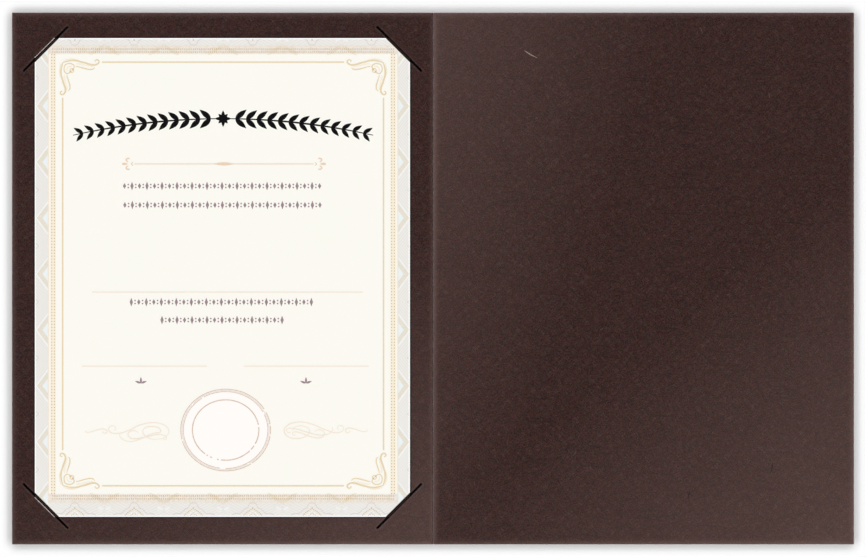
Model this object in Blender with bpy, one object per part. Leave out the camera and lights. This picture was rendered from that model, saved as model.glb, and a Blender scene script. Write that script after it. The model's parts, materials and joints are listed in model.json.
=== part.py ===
"""Certificate folder: a scored cover, two glued inner liners and a certificate held by four corner slits.

The folder lies open on a table. +X points to the right panel, +Y to the top of the certificate and +Z up.
The origin is the middle of the fold, on the table. All lengths are in metres.
"""

import math

import bmesh
import bpy
from mathutils import Vector

# The certificate, and the border of liner left showing around it
SHEET_WIDTH = 0.2150
SHEET_HEIGHT = 0.2744
SHEET_THICKNESS = 0.0002
OUTER_MARGIN = 0.0131
FOLD_MARGIN = 0.0127
TOP_MARGIN = 0.0146
BOTTOM_MARGIN = 0.0158

# The two plies of card, and the gap between the liners at the fold
COVER_THICKNESS = 0.0005
LINER_THICKNESS = 0.0004
FOLD_GAP = 0.0010

# The slits: each sheet corner is tucked in by this leg, and the slit runs on past it at both ends
TUCK_LEG = 0.0132
SLIT_OVERRUN = 0.0090
SLIT_WIDTH = 0.0013
NECK_GAP = 0.0003
DIP_CLEARANCE = 0.0001
DIP_STEPS = 8
LIP_ARC_STEPS = 4

# The pressed score along the middle of the crease: a full, rounded bead that rises between the liners
SCORE_DEPTH = 0.0005
SCORE_FULLNESS = 4
SCORE_STEPS = 12

# Double-sided tape that joins the plies
TAPE_WIDTH = 0.0060
TAPE_INSET = 0.0020
TAPE_END_GAP = 0.0040

# Clearances between touching layers, between the crease and the panels, and inside the closed folder
PLY_CLEARANCE = 0.00005
CREASE_CLEARANCE = 0.0001
CLOSED_CLEARANCE = 0.0001

# Layers from the table upwards: the tape spaces the plies just enough for a corner of the sheet
TAPE_LEVEL = COVER_THICKNESS + PLY_CLEARANCE
TAPE_THICKNESS = SHEET_THICKNESS
LINER_LEVEL = TAPE_LEVEL + TAPE_THICKNESS + PLY_CLEARANCE
LINER_TOP = LINER_LEVEL + LINER_THICKNESS
SHEET_LEVEL = LINER_TOP + PLY_CLEARANCE
SHEET_TOP = SHEET_LEVEL + SHEET_THICKNESS
SHEET_DROP = SHEET_LEVEL - TAPE_LEVEL

# The fold axis lies midway between the two liners of the closed folder, above the sheet between them
FOLD_AXIS_HEIGHT = (LINER_TOP + SHEET_TOP + CLOSED_CLEARANCE) / 2
CREASE_WIDTH = math.pi * (FOLD_AXIS_HEIGHT - COVER_THICKNESS / 2)

# Plan positions, measured from the fold and from the middle of its length
HALF_PANEL = (OUTER_MARGIN + SHEET_WIDTH + FOLD_MARGIN) / 2
FOLD_EDGE = FOLD_GAP / 2
PANEL_MIDDLE = FOLD_EDGE + HALF_PANEL
OUTER_EDGE = PANEL_MIDDLE + HALF_PANEL
END_EDGE = (TOP_MARGIN + SHEET_HEIGHT + BOTTOM_MARGIN) / 2
SHEET_MIDDLE = Vector((-FOLD_EDGE - FOLD_MARGIN - SHEET_WIDTH / 2, (BOTTOM_MARGIN - TOP_MARGIN) / 2))
CREASE_EDGE = CREASE_WIDTH / 2
COVER_EDGE = CREASE_EDGE + CREASE_CLEARANCE
SCORE_EDGE = FOLD_EDGE - CREASE_CLEARANCE

# Each slit line cuts its panel corner at 45 degrees; this is the longest edge that it cuts off
CUT_LEG = max(OUTER_MARGIN, FOLD_MARGIN) + max(TOP_MARGIN, BOTTOM_MARGIN) + TUCK_LEG
TUCK_DEPTH = TUCK_LEG / math.sqrt(2)
SLIT_HALF_LENGTH = TUCK_DEPTH + SLIT_OVERRUN

# Corners of the left panel, anticlockwise: name, and the signs of x and y from the sheet's middle
CORNERS = (
    ("top_right", 1, 1),
    ("top_left", -1, 1),
    ("bottom_left", -1, -1),
    ("bottom_right", 1, -1),
)


def clear_scene():
    for obj in list(bpy.data.objects):
        bpy.data.objects.remove(obj, do_unlink=True)


def principled(name, colour, roughness):
    """A plain material with the piece's own colour, given as linear red, green and blue."""
    material = bpy.data.materials.new(name)
    material.use_nodes = True
    shader = material.node_tree.nodes["Principled BSDF"]
    shader.inputs["Base Color"].default_value = (*colour, 1.0)
    shader.inputs["Roughness"].default_value = roughness
    shader.inputs["Metallic"].default_value = 0.0
    return material


def add_piece(name, shape, material, location=(0, 0, 0), turn=0.0, parent=None):
    """Turns a finished bmesh into a named object."""
    bmesh.ops.recalc_face_normals(shape, faces=shape.faces)
    mesh = bpy.data.meshes.new(name)
    shape.to_mesh(mesh)
    shape.free()
    mesh.materials.append(material)
    piece = bpy.data.objects.new(name, mesh)
    bpy.context.collection.objects.link(piece)
    piece.parent = parent
    piece.location = location
    piece.rotation_euler = (0.0, 0.0, turn)
    return piece


def extruded(points, direction):
    """A closed solid made by drawing one flat outline along a direction."""
    shape = bmesh.new()
    outline = shape.faces.new([shape.verts.new(point) for point in points])
    thicken(shape, [outline], direction)
    return shape


def thicken(shape, faces, direction):
    grown = bmesh.ops.extrude_face_region(shape, geom=faces)["geom"]
    moved = [item for item in grown if isinstance(item, bmesh.types.BMVert)]
    bmesh.ops.translate(shape, verts=moved, vec=direction)


def plate(outline, thickness):
    """A flat plate standing on z = 0, from its outline in plan."""
    return extruded([(x, y, 0.0) for x, y in outline], (0.0, 0.0, thickness))


def rectangle(left, right, bottom, top):
    return [(left, bottom), (right, bottom), (right, top), (left, top)]


class SlitCorner:
    """One corner of the left panel, seen from the middle of its slit.

    Distances run along the slit (u) and outward across it (v), from the inner lip of the slit.
    """

    def __init__(self, sign_x, sign_y):
        self.along = Vector((sign_y, -sign_x)) / math.sqrt(2)
        self.outward = Vector((sign_x, sign_y)) / math.sqrt(2)
        reach_x = (SHEET_WIDTH - TUCK_LEG) / 2
        reach_y = (SHEET_HEIGHT - TUCK_LEG) / 2
        self.middle = SHEET_MIDDLE + Vector((sign_x * reach_x, sign_y * reach_y))
        self.panel_corner = Vector((sign_x * HALF_PANEL - PANEL_MIDDLE, sign_y * END_EDGE))

    def place(self, u, v):
        return self.middle + u * self.along + v * self.outward

    def turn(self):
        return math.atan2(self.along.y, self.along.x)

    def panel_edges(self, v):
        """The u of both panel edges on the line at distance v, lowest first."""
        gap = self.panel_corner - self.middle - v * self.outward
        return sorted((gap.x / self.along.x, gap.y / self.along.y))

    def tip(self):
        gap = self.panel_corner - self.middle
        return gap.dot(self.along), gap.dot(self.outward)


def make_cover(card, fold_hinge):
    """The outer ply: one scored sheet, in its left panel, its crease and its right panel."""
    left = plate(rectangle(-OUTER_EDGE, -COVER_EDGE, -END_EDGE, END_EDGE), COVER_THICKNESS)
    add_piece("left_cover", left, card)
    right = plate(rectangle(COVER_EDGE, OUTER_EDGE, -END_EDGE, END_EDGE), COVER_THICKNESS)
    add_piece("right_cover", right, card, (0, 0, -FOLD_AXIS_HEIGHT), parent=fold_hinge)


def make_crease(card):
    """The strip of cover that bends, pressed upwards along the fold by the scoring rule."""
    shares = [2 * k / SCORE_STEPS - 1 for k in range(SCORE_STEPS + 1)]
    pressed = [(share * SCORE_EDGE, SCORE_DEPTH * (1 - share**SCORE_FULLNESS)) for share in shares]
    lower = [(-CREASE_EDGE, 0.0), *pressed, (CREASE_EDGE, 0.0)]
    upper = [(x, z + COVER_THICKNESS) for x, z in reversed(lower)]
    outline = [(x, -END_EDGE, z) for x, z in lower + upper]
    add_piece("fold_crease", extruded(outline, (0, 2 * END_EDGE, 0)), card)


def make_liners(card, fold_hinge, corners):
    """The inner ply: an eight-sided field between the slits on the left, a plain sheet on the right."""
    field = []
    for corner in corners.values():
        lower, upper = corner.panel_edges(0.0)
        field += [corner.place(upper, 0.0), corner.place(lower, 0.0)]
    add_piece("left_liner", plate(field, LINER_THICKNESS), card, (0, 0, LINER_LEVEL))
    right = plate(rectangle(FOLD_EDGE, OUTER_EDGE, -END_EDGE, END_EDGE), LINER_THICKNESS)
    level = LINER_LEVEL - FOLD_AXIS_HEIGHT
    add_piece("right_liner", right, card, (0, 0, level), parent=fold_hinge)


def lip_arc(end):
    """The rounded end of a slit's outer lip, from the neck to the lip; end is -1 or 1."""
    radius = SLIT_WIDTH - NECK_GAP
    centre = SLIT_HALF_LENGTH - radius
    angles = [k / LIP_ARC_STEPS * math.pi / 2 for k in range(LIP_ARC_STEPS + 1)]
    return [(end * (centre + radius * math.cos(a)), NECK_GAP + radius * math.sin(a)) for a in angles]


def make_corner_tab(name, corner, card):
    """The liner beyond one slit: a corner that bends up on its two necks, hinged in the neck gap."""
    lower, upper = corner.panel_edges(NECK_GAP)
    lip = lip_arc(-1) + lip_arc(1)[::-1]
    outline = [(lower, NECK_GAP), *lip, (upper, NECK_GAP), corner.tip()]
    hinge_v = NECK_GAP / 2
    hinge_height = LINER_LEVEL + LINER_THICKNESS / 2
    shape = plate([(u, v - hinge_v) for u, v in outline], LINER_THICKNESS)
    bmesh.ops.translate(shape, verts=shape.verts, vec=(0, 0, -LINER_THICKNESS / 2))
    place = corner.place(0.0, hinge_v)
    add_piece("corner_tab_" + name, shape, card, (place.x, place.y, hinge_height), corner.turn())


def dip_rows():
    """Distances across a slit and heights of the sheet there, as its corner slopes down under the tab."""
    start = DIP_CLEARANCE
    run = SLIT_WIDTH - 2 * DIP_CLEARANCE
    rows = [(0.0, 0.0)]
    for k in range(DIP_STEPS + 1):
        share = k / DIP_STEPS
        ease = share * share * (3 - 2 * share)
        rows.append((start + share * run, -SHEET_DROP * ease))
    return rows


def make_sheet(paper, corners):
    """The certificate: flat on the liner, each corner sloping through its slit to lie under the tab."""
    shape = bmesh.new()
    field = []
    faces = []
    for corner in corners.values():
        rows = []
        for v, height in dip_rows():
            half_chord = TUCK_DEPTH - v
            ends = [corner.place(u, v) for u in (half_chord, -half_chord)]
            rows.append([shape.verts.new((p.x, p.y, height)) for p in ends])
        point = corner.place(0.0, TUCK_DEPTH)
        tip = shape.verts.new((point.x, point.y, -SHEET_DROP))
        for near, far in zip(rows, rows[1:]):
            faces.append(shape.faces.new((near[0], far[0], far[1], near[1])))
        faces.append(shape.faces.new((rows[-1][0], tip, rows[-1][1])))
        field += rows[0]
    faces.append(shape.faces.new(field))
    thicken(shape, faces, (0, 0, SHEET_THICKNESS))
    add_piece("certificate_sheet", shape, paper, (0, 0, SHEET_LEVEL))


def tape_outlines(side, corner_leg):
    """The four strips of tape under one liner, which leave a leg of each edge free at the corners.

    side is -1 for the left panel and 1 for the right.
    """
    end_half = HALF_PANEL - corner_leg - TAPE_END_GAP
    side_half = END_EDGE - corner_leg - TAPE_END_GAP
    middle = side * PANEL_MIDDLE
    near = END_EDGE - TAPE_INSET
    far = near - TAPE_WIDTH
    outer = sorted(side * (OUTER_EDGE - TAPE_INSET - inward) for inward in (0.0, TAPE_WIDTH))
    fold = sorted(side * (COVER_EDGE + TAPE_INSET + inward) for inward in (0.0, TAPE_WIDTH))
    return {
        "top": rectangle(middle - end_half, middle + end_half, far, near),
        "bottom": rectangle(middle - end_half, middle + end_half, -near, -far),
        "outer": rectangle(*outer, -side_half, side_half),
        "fold": rectangle(*fold, -side_half, side_half),
    }


def make_tape(tape, fold_hinge):
    """Strips that hold each liner to the cover, stopping short of the slits and of each other."""
    for edge, outline in tape_outlines(-1, CUT_LEG).items():
        add_piece("left_tape_" + edge, plate(outline, TAPE_THICKNESS), tape, (0, 0, TAPE_LEVEL))
    level = TAPE_LEVEL - FOLD_AXIS_HEIGHT
    for edge, outline in tape_outlines(1, TAPE_INSET + TAPE_WIDTH).items():
        strip = plate(outline, TAPE_THICKNESS)
        add_piece("right_tape_" + edge, strip, tape, (0, 0, level), parent=fold_hinge)


def main():
    clear_scene()
    cover_card = principled("cover_card", (0.042, 0.022, 0.019), 0.85)
    liner_card = principled("liner_card", (0.045, 0.024, 0.021), 0.85)
    paper = principled("certificate_paper", (0.960, 0.945, 0.880), 0.80)
    tape = principled("mounting_tape", (0.750, 0.740, 0.700), 0.60)

    fold_hinge = bpy.data.objects.new("fold_hinge", None)
    fold_hinge.location = (0.0, 0.0, FOLD_AXIS_HEIGHT)
    bpy.context.collection.objects.link(fold_hinge)

    corners = {name: SlitCorner(sign_x, sign_y) for name, sign_x, sign_y in CORNERS}
    make_cover(cover_card, fold_hinge)
    make_crease(cover_card)
    make_liners(liner_card, fold_hinge, corners)
    for name, corner in corners.items():
        make_corner_tab(name, corner, liner_card)
    make_sheet(paper, corners)
    make_tape(tape, fold_hinge)
    print(f"fold axis {FOLD_AXIS_HEIGHT:.6f} m above the table, crease {CREASE_WIDTH:.6f} m wide")


main()
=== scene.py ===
# %% [markdown]
# # A certificate folder in felt-like card
#
# The real folder is a scored cover with a liner glued inside each half. The left liner has four slits,
# and the corners of a printed certificate are tucked through them. This lesson dresses those pieces.

# %% Load the frame
import json
import math
import random

import bmesh
import bpy
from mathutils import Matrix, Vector


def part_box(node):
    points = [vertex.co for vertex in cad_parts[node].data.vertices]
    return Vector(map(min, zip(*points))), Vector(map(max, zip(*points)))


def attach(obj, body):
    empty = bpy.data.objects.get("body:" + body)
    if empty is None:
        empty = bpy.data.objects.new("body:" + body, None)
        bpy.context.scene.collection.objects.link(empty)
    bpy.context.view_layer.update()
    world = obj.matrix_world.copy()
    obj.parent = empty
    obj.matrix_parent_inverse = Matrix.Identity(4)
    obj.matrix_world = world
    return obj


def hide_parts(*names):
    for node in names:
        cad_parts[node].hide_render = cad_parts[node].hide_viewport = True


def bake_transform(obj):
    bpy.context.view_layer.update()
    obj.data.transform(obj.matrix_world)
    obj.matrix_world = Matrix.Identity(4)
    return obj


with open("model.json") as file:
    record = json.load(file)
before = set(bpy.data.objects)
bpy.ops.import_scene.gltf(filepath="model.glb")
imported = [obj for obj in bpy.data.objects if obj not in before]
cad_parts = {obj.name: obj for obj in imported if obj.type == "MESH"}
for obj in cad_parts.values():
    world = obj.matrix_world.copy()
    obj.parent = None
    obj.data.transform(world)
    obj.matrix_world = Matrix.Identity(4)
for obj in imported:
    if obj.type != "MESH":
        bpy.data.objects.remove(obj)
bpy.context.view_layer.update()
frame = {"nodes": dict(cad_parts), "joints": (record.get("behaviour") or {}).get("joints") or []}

# %% [markdown]
# ## Sizes taken from the frame
#
# Every level and edge could be typed in again, but then a change of the model would leave the looks
# behind. So they are read from the boxes of the solids, and only what a box can't tell, such as the
# width of a slit, is written here. Lengths in this lesson are metres, so a value in millimetres is
# written times MM.

# %% Levels and edges
MM = 0.001
liner_low, liner_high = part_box("left_liner")
right_low, right_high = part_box("right_liner")
sheet_low, sheet_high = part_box("certificate_sheet")
cover_low, cover_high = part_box("left_cover")
right_cover_low, right_cover_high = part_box("right_cover")
crease_low, crease_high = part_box("fold_crease")

SHEET_MIDDLE = Vector(((sheet_low.x + sheet_high.x) / 2, (sheet_low.y + sheet_high.y) / 2))
SHEET_HALF = Vector(((sheet_high.x - sheet_low.x) / 2, (sheet_high.y - sheet_low.y) / 2))
SHEET_THICKNESS = 0.2 * MM
SHEET_TOP = sheet_high.z
SHEET_LEVEL = SHEET_TOP - SHEET_THICKNESS
SHEET_DROP = SHEET_LEVEL - sheet_low.z
NECK_GAP = 0.3 * MM
SLIT_WIDTH = 1.3 * MM
SLIT_OVERRUN = 9.0 * MM
print(f"sheet {2 * SHEET_HALF.x / MM:.1f} x {2 * SHEET_HALF.y / MM:.1f} mm, top at {SHEET_TOP / MM:.2f} mm")

# %% [markdown]
# ## The camera
#
# The folder is seen from straight above, with no sign of perspective. An orthographic camera would do,
# but a long lens far away gives the same picture and still behaves like a camera when the view is moved.
# The frame is as wide as the folder plus a narrow margin of floor, and its middle is the middle of the
# fold.

# %% Place the camera
FRAME_WIDTH = 496.4 * MM
LENS = 100.0
SENSOR = 36.0

camera = bpy.data.objects.new("camera", bpy.data.cameras.new("camera"))
bpy.context.collection.objects.link(camera)
camera.data.lens = LENS
camera.data.sensor_width = SENSOR
camera.location = (0.0, 0.0, liner_high.z + FRAME_WIDTH * LENS / SENSOR)
bpy.context.scene.camera = camera
print(f"camera {camera.location.z:.3f} m above the table")

# %% [markdown]
# ## Drawing node trees
#
# A material in code is a long list of nodes and links. The small class below keeps that short: each call
# adds one node, feeds its inputs with values or with other nodes' outputs, and gives back an output to
# go on with.

# %% A pen for node trees
class NodePen:
    """Adds nodes to one tree. A value fed to a socket is either a constant or another node's output."""

    def __init__(self, tree):
        self.tree = tree

    def feed(self, socket, value):
        if isinstance(value, bpy.types.NodeSocket):
            self.tree.links.new(value, socket)
        else:
            socket.default_value = value

    def node(self, kind, inputs=None, **settings):
        made = self.tree.nodes.new(kind)
        for name, value in settings.items():
            setattr(made, name, value)
        for name, value in (inputs or {}).items():
            self.feed(made.inputs[name], value)
        return made

    def math(self, operation, first, second=0.0, clamp=False):
        inputs = {0: first, 1: second}
        return self.node("ShaderNodeMath", inputs, operation=operation, use_clamp=clamp).outputs[0]

    def vector(self, operation, first, second):
        return self.node("ShaderNodeVectorMath", {0: first, 1: second}, operation=operation).outputs[0]

    def scaled(self, vector, factor):
        return self.node("ShaderNodeVectorMath", {0: vector, "Scale": factor}, operation="SCALE").outputs[0]

    def absolute(self, vector):
        return self.node("ShaderNodeVectorMath", {0: vector}, operation="ABSOLUTE").outputs[0]

    def axes(self, vector):
        return self.node("ShaderNodeSeparateXYZ", {0: vector}).outputs

    def joined(self, x, y, z=0.0):
        return self.node("ShaderNodeCombineXYZ", {0: x, 1: y, 2: z}).outputs[0]

    def fade(self, value, start, end, smooth=True):
        """0 up to start and 1 from end on. Start may be the larger of the two."""
        style = "SMOOTHSTEP" if smooth else "LINEAR"
        inputs = {0: value, 1: start, 2: end, 3: 0.0, 4: 1.0}
        return self.node("ShaderNodeMapRange", inputs, interpolation_type=style).outputs[0]

    def noise(self, place, scale, detail=2.0, roughness=0.5):
        inputs = {"Vector": place, "Scale": scale, "Detail": detail, "Roughness": roughness}
        return self.node("ShaderNodeTexNoise", inputs)

    def mix(self, share, first, second, style="MIX"):
        inputs = {0: share, 6: first, 7: second}
        made = self.node("ShaderNodeMix", inputs, data_type="RGBA", blend_type=style)
        return made.outputs[2]

    def placed(self, group, **inputs):
        """Places a node group. Inputs are named as its sockets, with _ for a space."""
        made = self.node("ShaderNodeGroup", None, node_tree=group)
        for name, value in inputs.items():
            self.feed(made.inputs[name.replace("_", " ")], value)
        return made.outputs


def srgb(red, green, blue):
    """A colour as a screen shows it, 0 to 255, turned into Blender's linear light."""
    shares = [value / 255 for value in (red, green, blue)]
    linear = [s / 12.92 if s <= 0.04045 else ((s + 0.055) / 1.055) ** 2.4 for s in shares]
    return (*linear, 1.0)


print("mid grey 128 is", round(srgb(128, 128, 128)[0], 3), "in linear light")

# %% [markdown]
# ## Floor and light
#
# The folder lies on a white table. It is thin, so a lamp overhead would leave no shadow at all. A round
# tent whose lower wall glows rakes light over it from all sides instead: that brings out the felt, fills
# the slits with shadow and lays an even soft shadow round every edge. Area lamps could stand for the
# wall, but the world behind everything is already round, so its strength is painted by height. Colours
# were matched on a screen, so the plain Standard view is used, which shows them as they were set.

# %% Lay the floor
FLOOR_HALF = 6.0

floor_mesh = bpy.data.meshes.new("table")
floor_corners = [(x, y, 0.0) for x, y in ((-1, -1), (1, -1), (1, 1), (-1, 1))]
floor_mesh.from_pydata([Vector(c) * FLOOR_HALF for c in floor_corners], [], [(0, 1, 2, 3)])
floor = bpy.data.objects.new("table", floor_mesh)
bpy.context.collection.objects.link(floor)

table_white = bpy.data.materials.new("table_white")
table_white.use_nodes = True
pen = NodePen(table_white.node_tree)
table_shader = table_white.node_tree.nodes["Principled BSDF"]
table_noise = pen.noise(pen.node("ShaderNodeTexCoord").outputs["Object"], 3.0)
table_colour = pen.mix(table_noise.outputs[0], srgb(252, 252, 252), srgb(255, 255, 255))
pen.feed(table_shader.inputs["Base Color"], table_colour)
table_shader.inputs["Roughness"].default_value = 0.9
table_shader.inputs["Specular IOR Level"].default_value = 0.1
floor_mesh.materials.append(table_white)
print("table", 2 * FLOOR_HALF, "m wide")

# %% Light it all round
TENT_STRENGTH = 11.3
TENT_FOOT = (0.12, 0.18)
TENT_HEAD = (0.40, 0.26)
CEILING_STRENGTH = 0.03

sky = bpy.data.worlds.new("light_tent")
sky.use_nodes = True
bpy.context.scene.world = sky
pen = NodePen(sky.node_tree)
tent = sky.node_tree.nodes["Background"]
tent.inputs["Color"].default_value = srgb(255, 255, 255)
height = pen.axes(pen.node("ShaderNodeTexCoord").outputs["Generated"])[2]
wall = pen.math("MULTIPLY", pen.fade(height, *TENT_FOOT), pen.fade(height, *TENT_HEAD))
glow = pen.math("MULTIPLY", wall, TENT_STRENGTH)
pen.feed(tent.inputs["Strength"], pen.math("ADD", CEILING_STRENGTH, glow))
bpy.context.scene.view_settings.view_transform = "Standard"
print("the tent's wall glows", TENT_STRENGTH, "times as bright as white")

# %% [markdown]
# ## Shared effects: node groups
#
# Both liners, the four corner tabs and the cover are the same felt-like card, so what they share is
# built once as node groups: the speckle of dyed fibres, single hairs, the rub along an edge with its
# painted highlight, and a pale painted sheen that stands in for light on the nap. A group has named
# sockets, made with interface.new_socket, and each material places it with its own values. Shaders stay
# out of the groups, so that the model can be exported.

# %% A helper that starts a group
def start_group(name, inputs, outputs):
    """A new node group. inputs maps a socket's name to its default, and outputs lists names of values."""
    group = bpy.data.node_groups.new(name, "ShaderNodeTree")
    for socket_name, default in inputs.items():
        kind = "NodeSocketFloat" if isinstance(default, float) else "NodeSocketVector"
        socket = group.interface.new_socket(socket_name, in_out="INPUT", socket_type=kind)
        socket.default_value = default
    for socket_name in outputs:
        kind = "NodeSocketColor" if "Colour" in socket_name else "NodeSocketFloat"
        group.interface.new_socket(socket_name, in_out="OUTPUT", socket_type=kind)
    source = group.nodes.new("NodeGroupInput").outputs
    sink = group.nodes.new("NodeGroupOutput").inputs
    return group, NodePen(group), source, sink


NOWHERE = (0.0, 0.0, 0.0)
print("groups can be started")

# %% [markdown]
# ### Felt speckle
#
# The card is made of fibres dyed in slightly different browns, pressed flat. From a step away that is a
# fine speckle of light and dark, with a little red and grey in it. A picture of felt could be wrapped
# round the card, but noise needs no picture and has no seams. The colour output of a noise texture gives
# three unlike noises at once, so red, green and blue drift apart a little, as the fibres do.

# %% Group: felt_speckle
BROAD_STEP = 7.0
BROAD_SHARE = 0.2
COOL_SHARE = 1.4
DRIFT_OFFSET = (0.3, 0.7, 0.0)
MID_GREY = (0.5, 0.5, 0.5)
PLAIN_FACTOR = (1.0, 1.0, 1.0)
LOWEST_FACTOR = (0.2, 0.2, 0.2)

felt_speckle, pen, source, sink = start_group(
    "felt_speckle",
    {"Place": NOWHERE, "Grain": 1.0 * MM, "Strength": 1.0, "Colour Drift": 0.5},
    ["Colour Factor", "Height"],
)
grain_scale = pen.math("DIVIDE", 1.0, source["Grain"])
fine = pen.noise(source["Place"], grain_scale, 1.0)
broad = pen.noise(source["Place"], pen.math("DIVIDE", grain_scale, BROAD_STEP), 2.0)
drift = pen.noise(pen.vector("ADD", source["Place"], DRIFT_OFFSET), grain_scale, 0.0)
fine_light = pen.math("SUBTRACT", fine.outputs[0], 0.5)
broad_light = pen.math("MULTIPLY", pen.math("SUBTRACT", broad.outputs[0], 0.5), BROAD_SHARE)
light = pen.math("ADD", fine_light, broad_light)
light = pen.math("MULTIPLY", light, source["Strength"])
hue = pen.vector("SUBTRACT", drift.outputs["Color"], MID_GREY)
hue = pen.scaled(hue, source["Colour Drift"])
cool = pen.math("MULTIPLY", light, COOL_SHARE)
level = pen.joined(light, cool, cool)
factor = pen.vector("ADD", pen.vector("ADD", hue, level), PLAIN_FACTOR)
pen.feed(sink["Colour Factor"], pen.vector("MAXIMUM", factor, LOWEST_FACTOR))
pen.feed(sink["Height"], fine.outputs[0])
print("felt_speckle:", len(felt_speckle.nodes), "nodes")

# %% [markdown]
# ### Single hairs
#
# Here and there one longer fibre lies on the surface, light or dark, pointing anywhere. A Voronoi
# texture puts one point in each cell. If the space is stretched first, the spot round each point becomes
# a long thin lens, which is a hair. A little noise bends the space, so no two hairs are straight and
# parallel.

# %% Group: felt_hairs
BEND_SCALE = 110.0
HAIR_LENS = (0.40, 0.12)

felt_hairs, pen, source, sink = start_group(
    "felt_hairs",
    {"Place": NOWHERE, "Angle": 0.0, "Length": 7.0 * MM, "Width": 0.8 * MM, "Share": 0.25,
     "Bend": 7.0 * MM},
    ["Mask"],
)
bend_noise = pen.noise(source["Place"], BEND_SCALE, 1.0)
bend = pen.vector("SUBTRACT", bend_noise.outputs["Color"], MID_GREY)
bent = pen.vector("ADD", source["Place"], pen.scaled(bend, source["Bend"]))
turned = pen.node("ShaderNodeVectorRotate", {"Vector": bent, "Angle": source["Angle"]},
                  rotation_type="Z_AXIS").outputs[0]
across = pen.axes(turned)
stretched = pen.joined(pen.math("DIVIDE", across[0], source["Length"]),
                       pen.math("DIVIDE", across[1], source["Width"]))
cells = pen.node("ShaderNodeTexVoronoi", {"Vector": stretched, "Scale": 1.0}, voronoi_dimensions="2D")
chosen = pen.math("LESS_THAN", pen.axes(cells.outputs["Color"])[0], source["Share"])
lens_shape = pen.fade(cells.outputs["Distance"], *HAIR_LENS)
pen.feed(sink["Mask"], pen.math("MULTIPLY", lens_shape, chosen))
print("felt_hairs:", len(felt_hairs.nodes), "nodes")

# %% [markdown]
# ### Rub and painted highlight along the edges
#
# Hands and shelves rub the outer edges of a folder, and a painted highlight, as where light catches a
# rim, makes the card palest right at the rim. The mask needs the distance to the nearest edge of a
# rectangle. The Geometry node's Pointiness would find edges too, but it depends on how the mesh is cut,
# so the distance is worked out from the place itself.

# %% Group: edge_rub_and_highlight
RUB_AND_HIGHLIGHT_FALL = 2.6

edge_rub_and_highlight, pen, source, sink = start_group(
    "edge_rub_and_highlight",
    {"Place": NOWHERE, "Middle": NOWHERE, "Half Size": (0.1, 0.1, 0.0), "Reach": 4.5 * MM},
    ["Rub", "Outside"],
)
offset = pen.absolute(pen.vector("SUBTRACT", source["Place"], source["Middle"]))
past = pen.axes(pen.vector("SUBTRACT", offset, source["Half Size"]))
outside = pen.math("MAXIMUM", past[0], past[1])
# Palest at the rim: rub wear plus a painted highlight, as where light catches an edge.
rub_and_highlight = pen.math("ADD", 1.0, pen.math("DIVIDE", outside, source["Reach"]), clamp=True)
pen.feed(sink["Rub"], pen.math("POWER", rub_and_highlight, RUB_AND_HIGHLIGHT_FALL))
pen.feed(sink["Outside"], outside)
print("edge_rub_and_highlight:", len(edge_rub_and_highlight.nodes), "nodes")

# %% [markdown]
# ### Painted sheen
#
# A pale painted sheen stands in for light catching the felt's nap. On this folder it lies in a few
# chosen corners and fades across the panel to plain brown. The group measures how far a place is from
# such a corner, as a share of the reach along each side, and a soft noise keeps the fade from looking
# airbrushed.

# %% Group: painted_sheen
CLOUD_SCALE = 25.0
CLOUD_LEAST = 0.85
CLOUD_SHARE = 0.3

painted_sheen, pen, source, sink = start_group(
    "painted_sheen",
    {"Place": NOWHERE, "Corner": NOWHERE, "Reach": (0.2, 0.2, 1.0)},
    ["Bloom"],
)
away = pen.absolute(pen.vector("SUBTRACT", source["Place"], source["Corner"]))
away = pen.axes(pen.vector("DIVIDE", away, source["Reach"]))
near = pen.math("SUBTRACT", 1.0, pen.math("ADD", away[0], away[1]), clamp=True)
cloud = pen.noise(source["Place"], CLOUD_SCALE).outputs[0]
cloud = pen.math("ADD", CLOUD_LEAST, pen.math("MULTIPLY", cloud, CLOUD_SHARE))
# The sheen is painted light: a pale pool that fades out from its corner.
pen.feed(sink["Bloom"], pen.math("MULTIPLY", near, cloud))
print("painted_sheen:", len(painted_sheen.nodes), "nodes")

# %% [markdown]
# ### Where the slits are
#
# Each slit cuts its corner at 45 degrees. Measured from the sheet's middle, the sum of a point's two
# distances tells how far it lies beyond the slit line, and their difference tells how far along the slit
# it is. From both comes the distance to the slit's rim. The liner and the paper mark themselves by these
# numbers.

# %% Group: slit_side
slit_joints = {
    joint["child"]: Vector(joint["pos_m"]) for joint in frame["joints"] if "tab" in joint["child"]
}
hinge = slit_joints["tab_top_right"]
half_neck = Vector((1, 1)) * NECK_GAP / math.sqrt(8)
SLIT_MIDDLE = Vector((hinge.x - SHEET_MIDDLE.x, hinge.y - SHEET_MIDDLE.y)) - half_neck
SLIT_REACH = SLIT_MIDDLE.x + SLIT_MIDDLE.y
TUCK_DEPTH = (SHEET_HALF.x + SHEET_HALF.y - SLIT_REACH) / math.sqrt(2)
SLIT_HALF = TUCK_DEPTH + SLIT_OVERRUN

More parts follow.
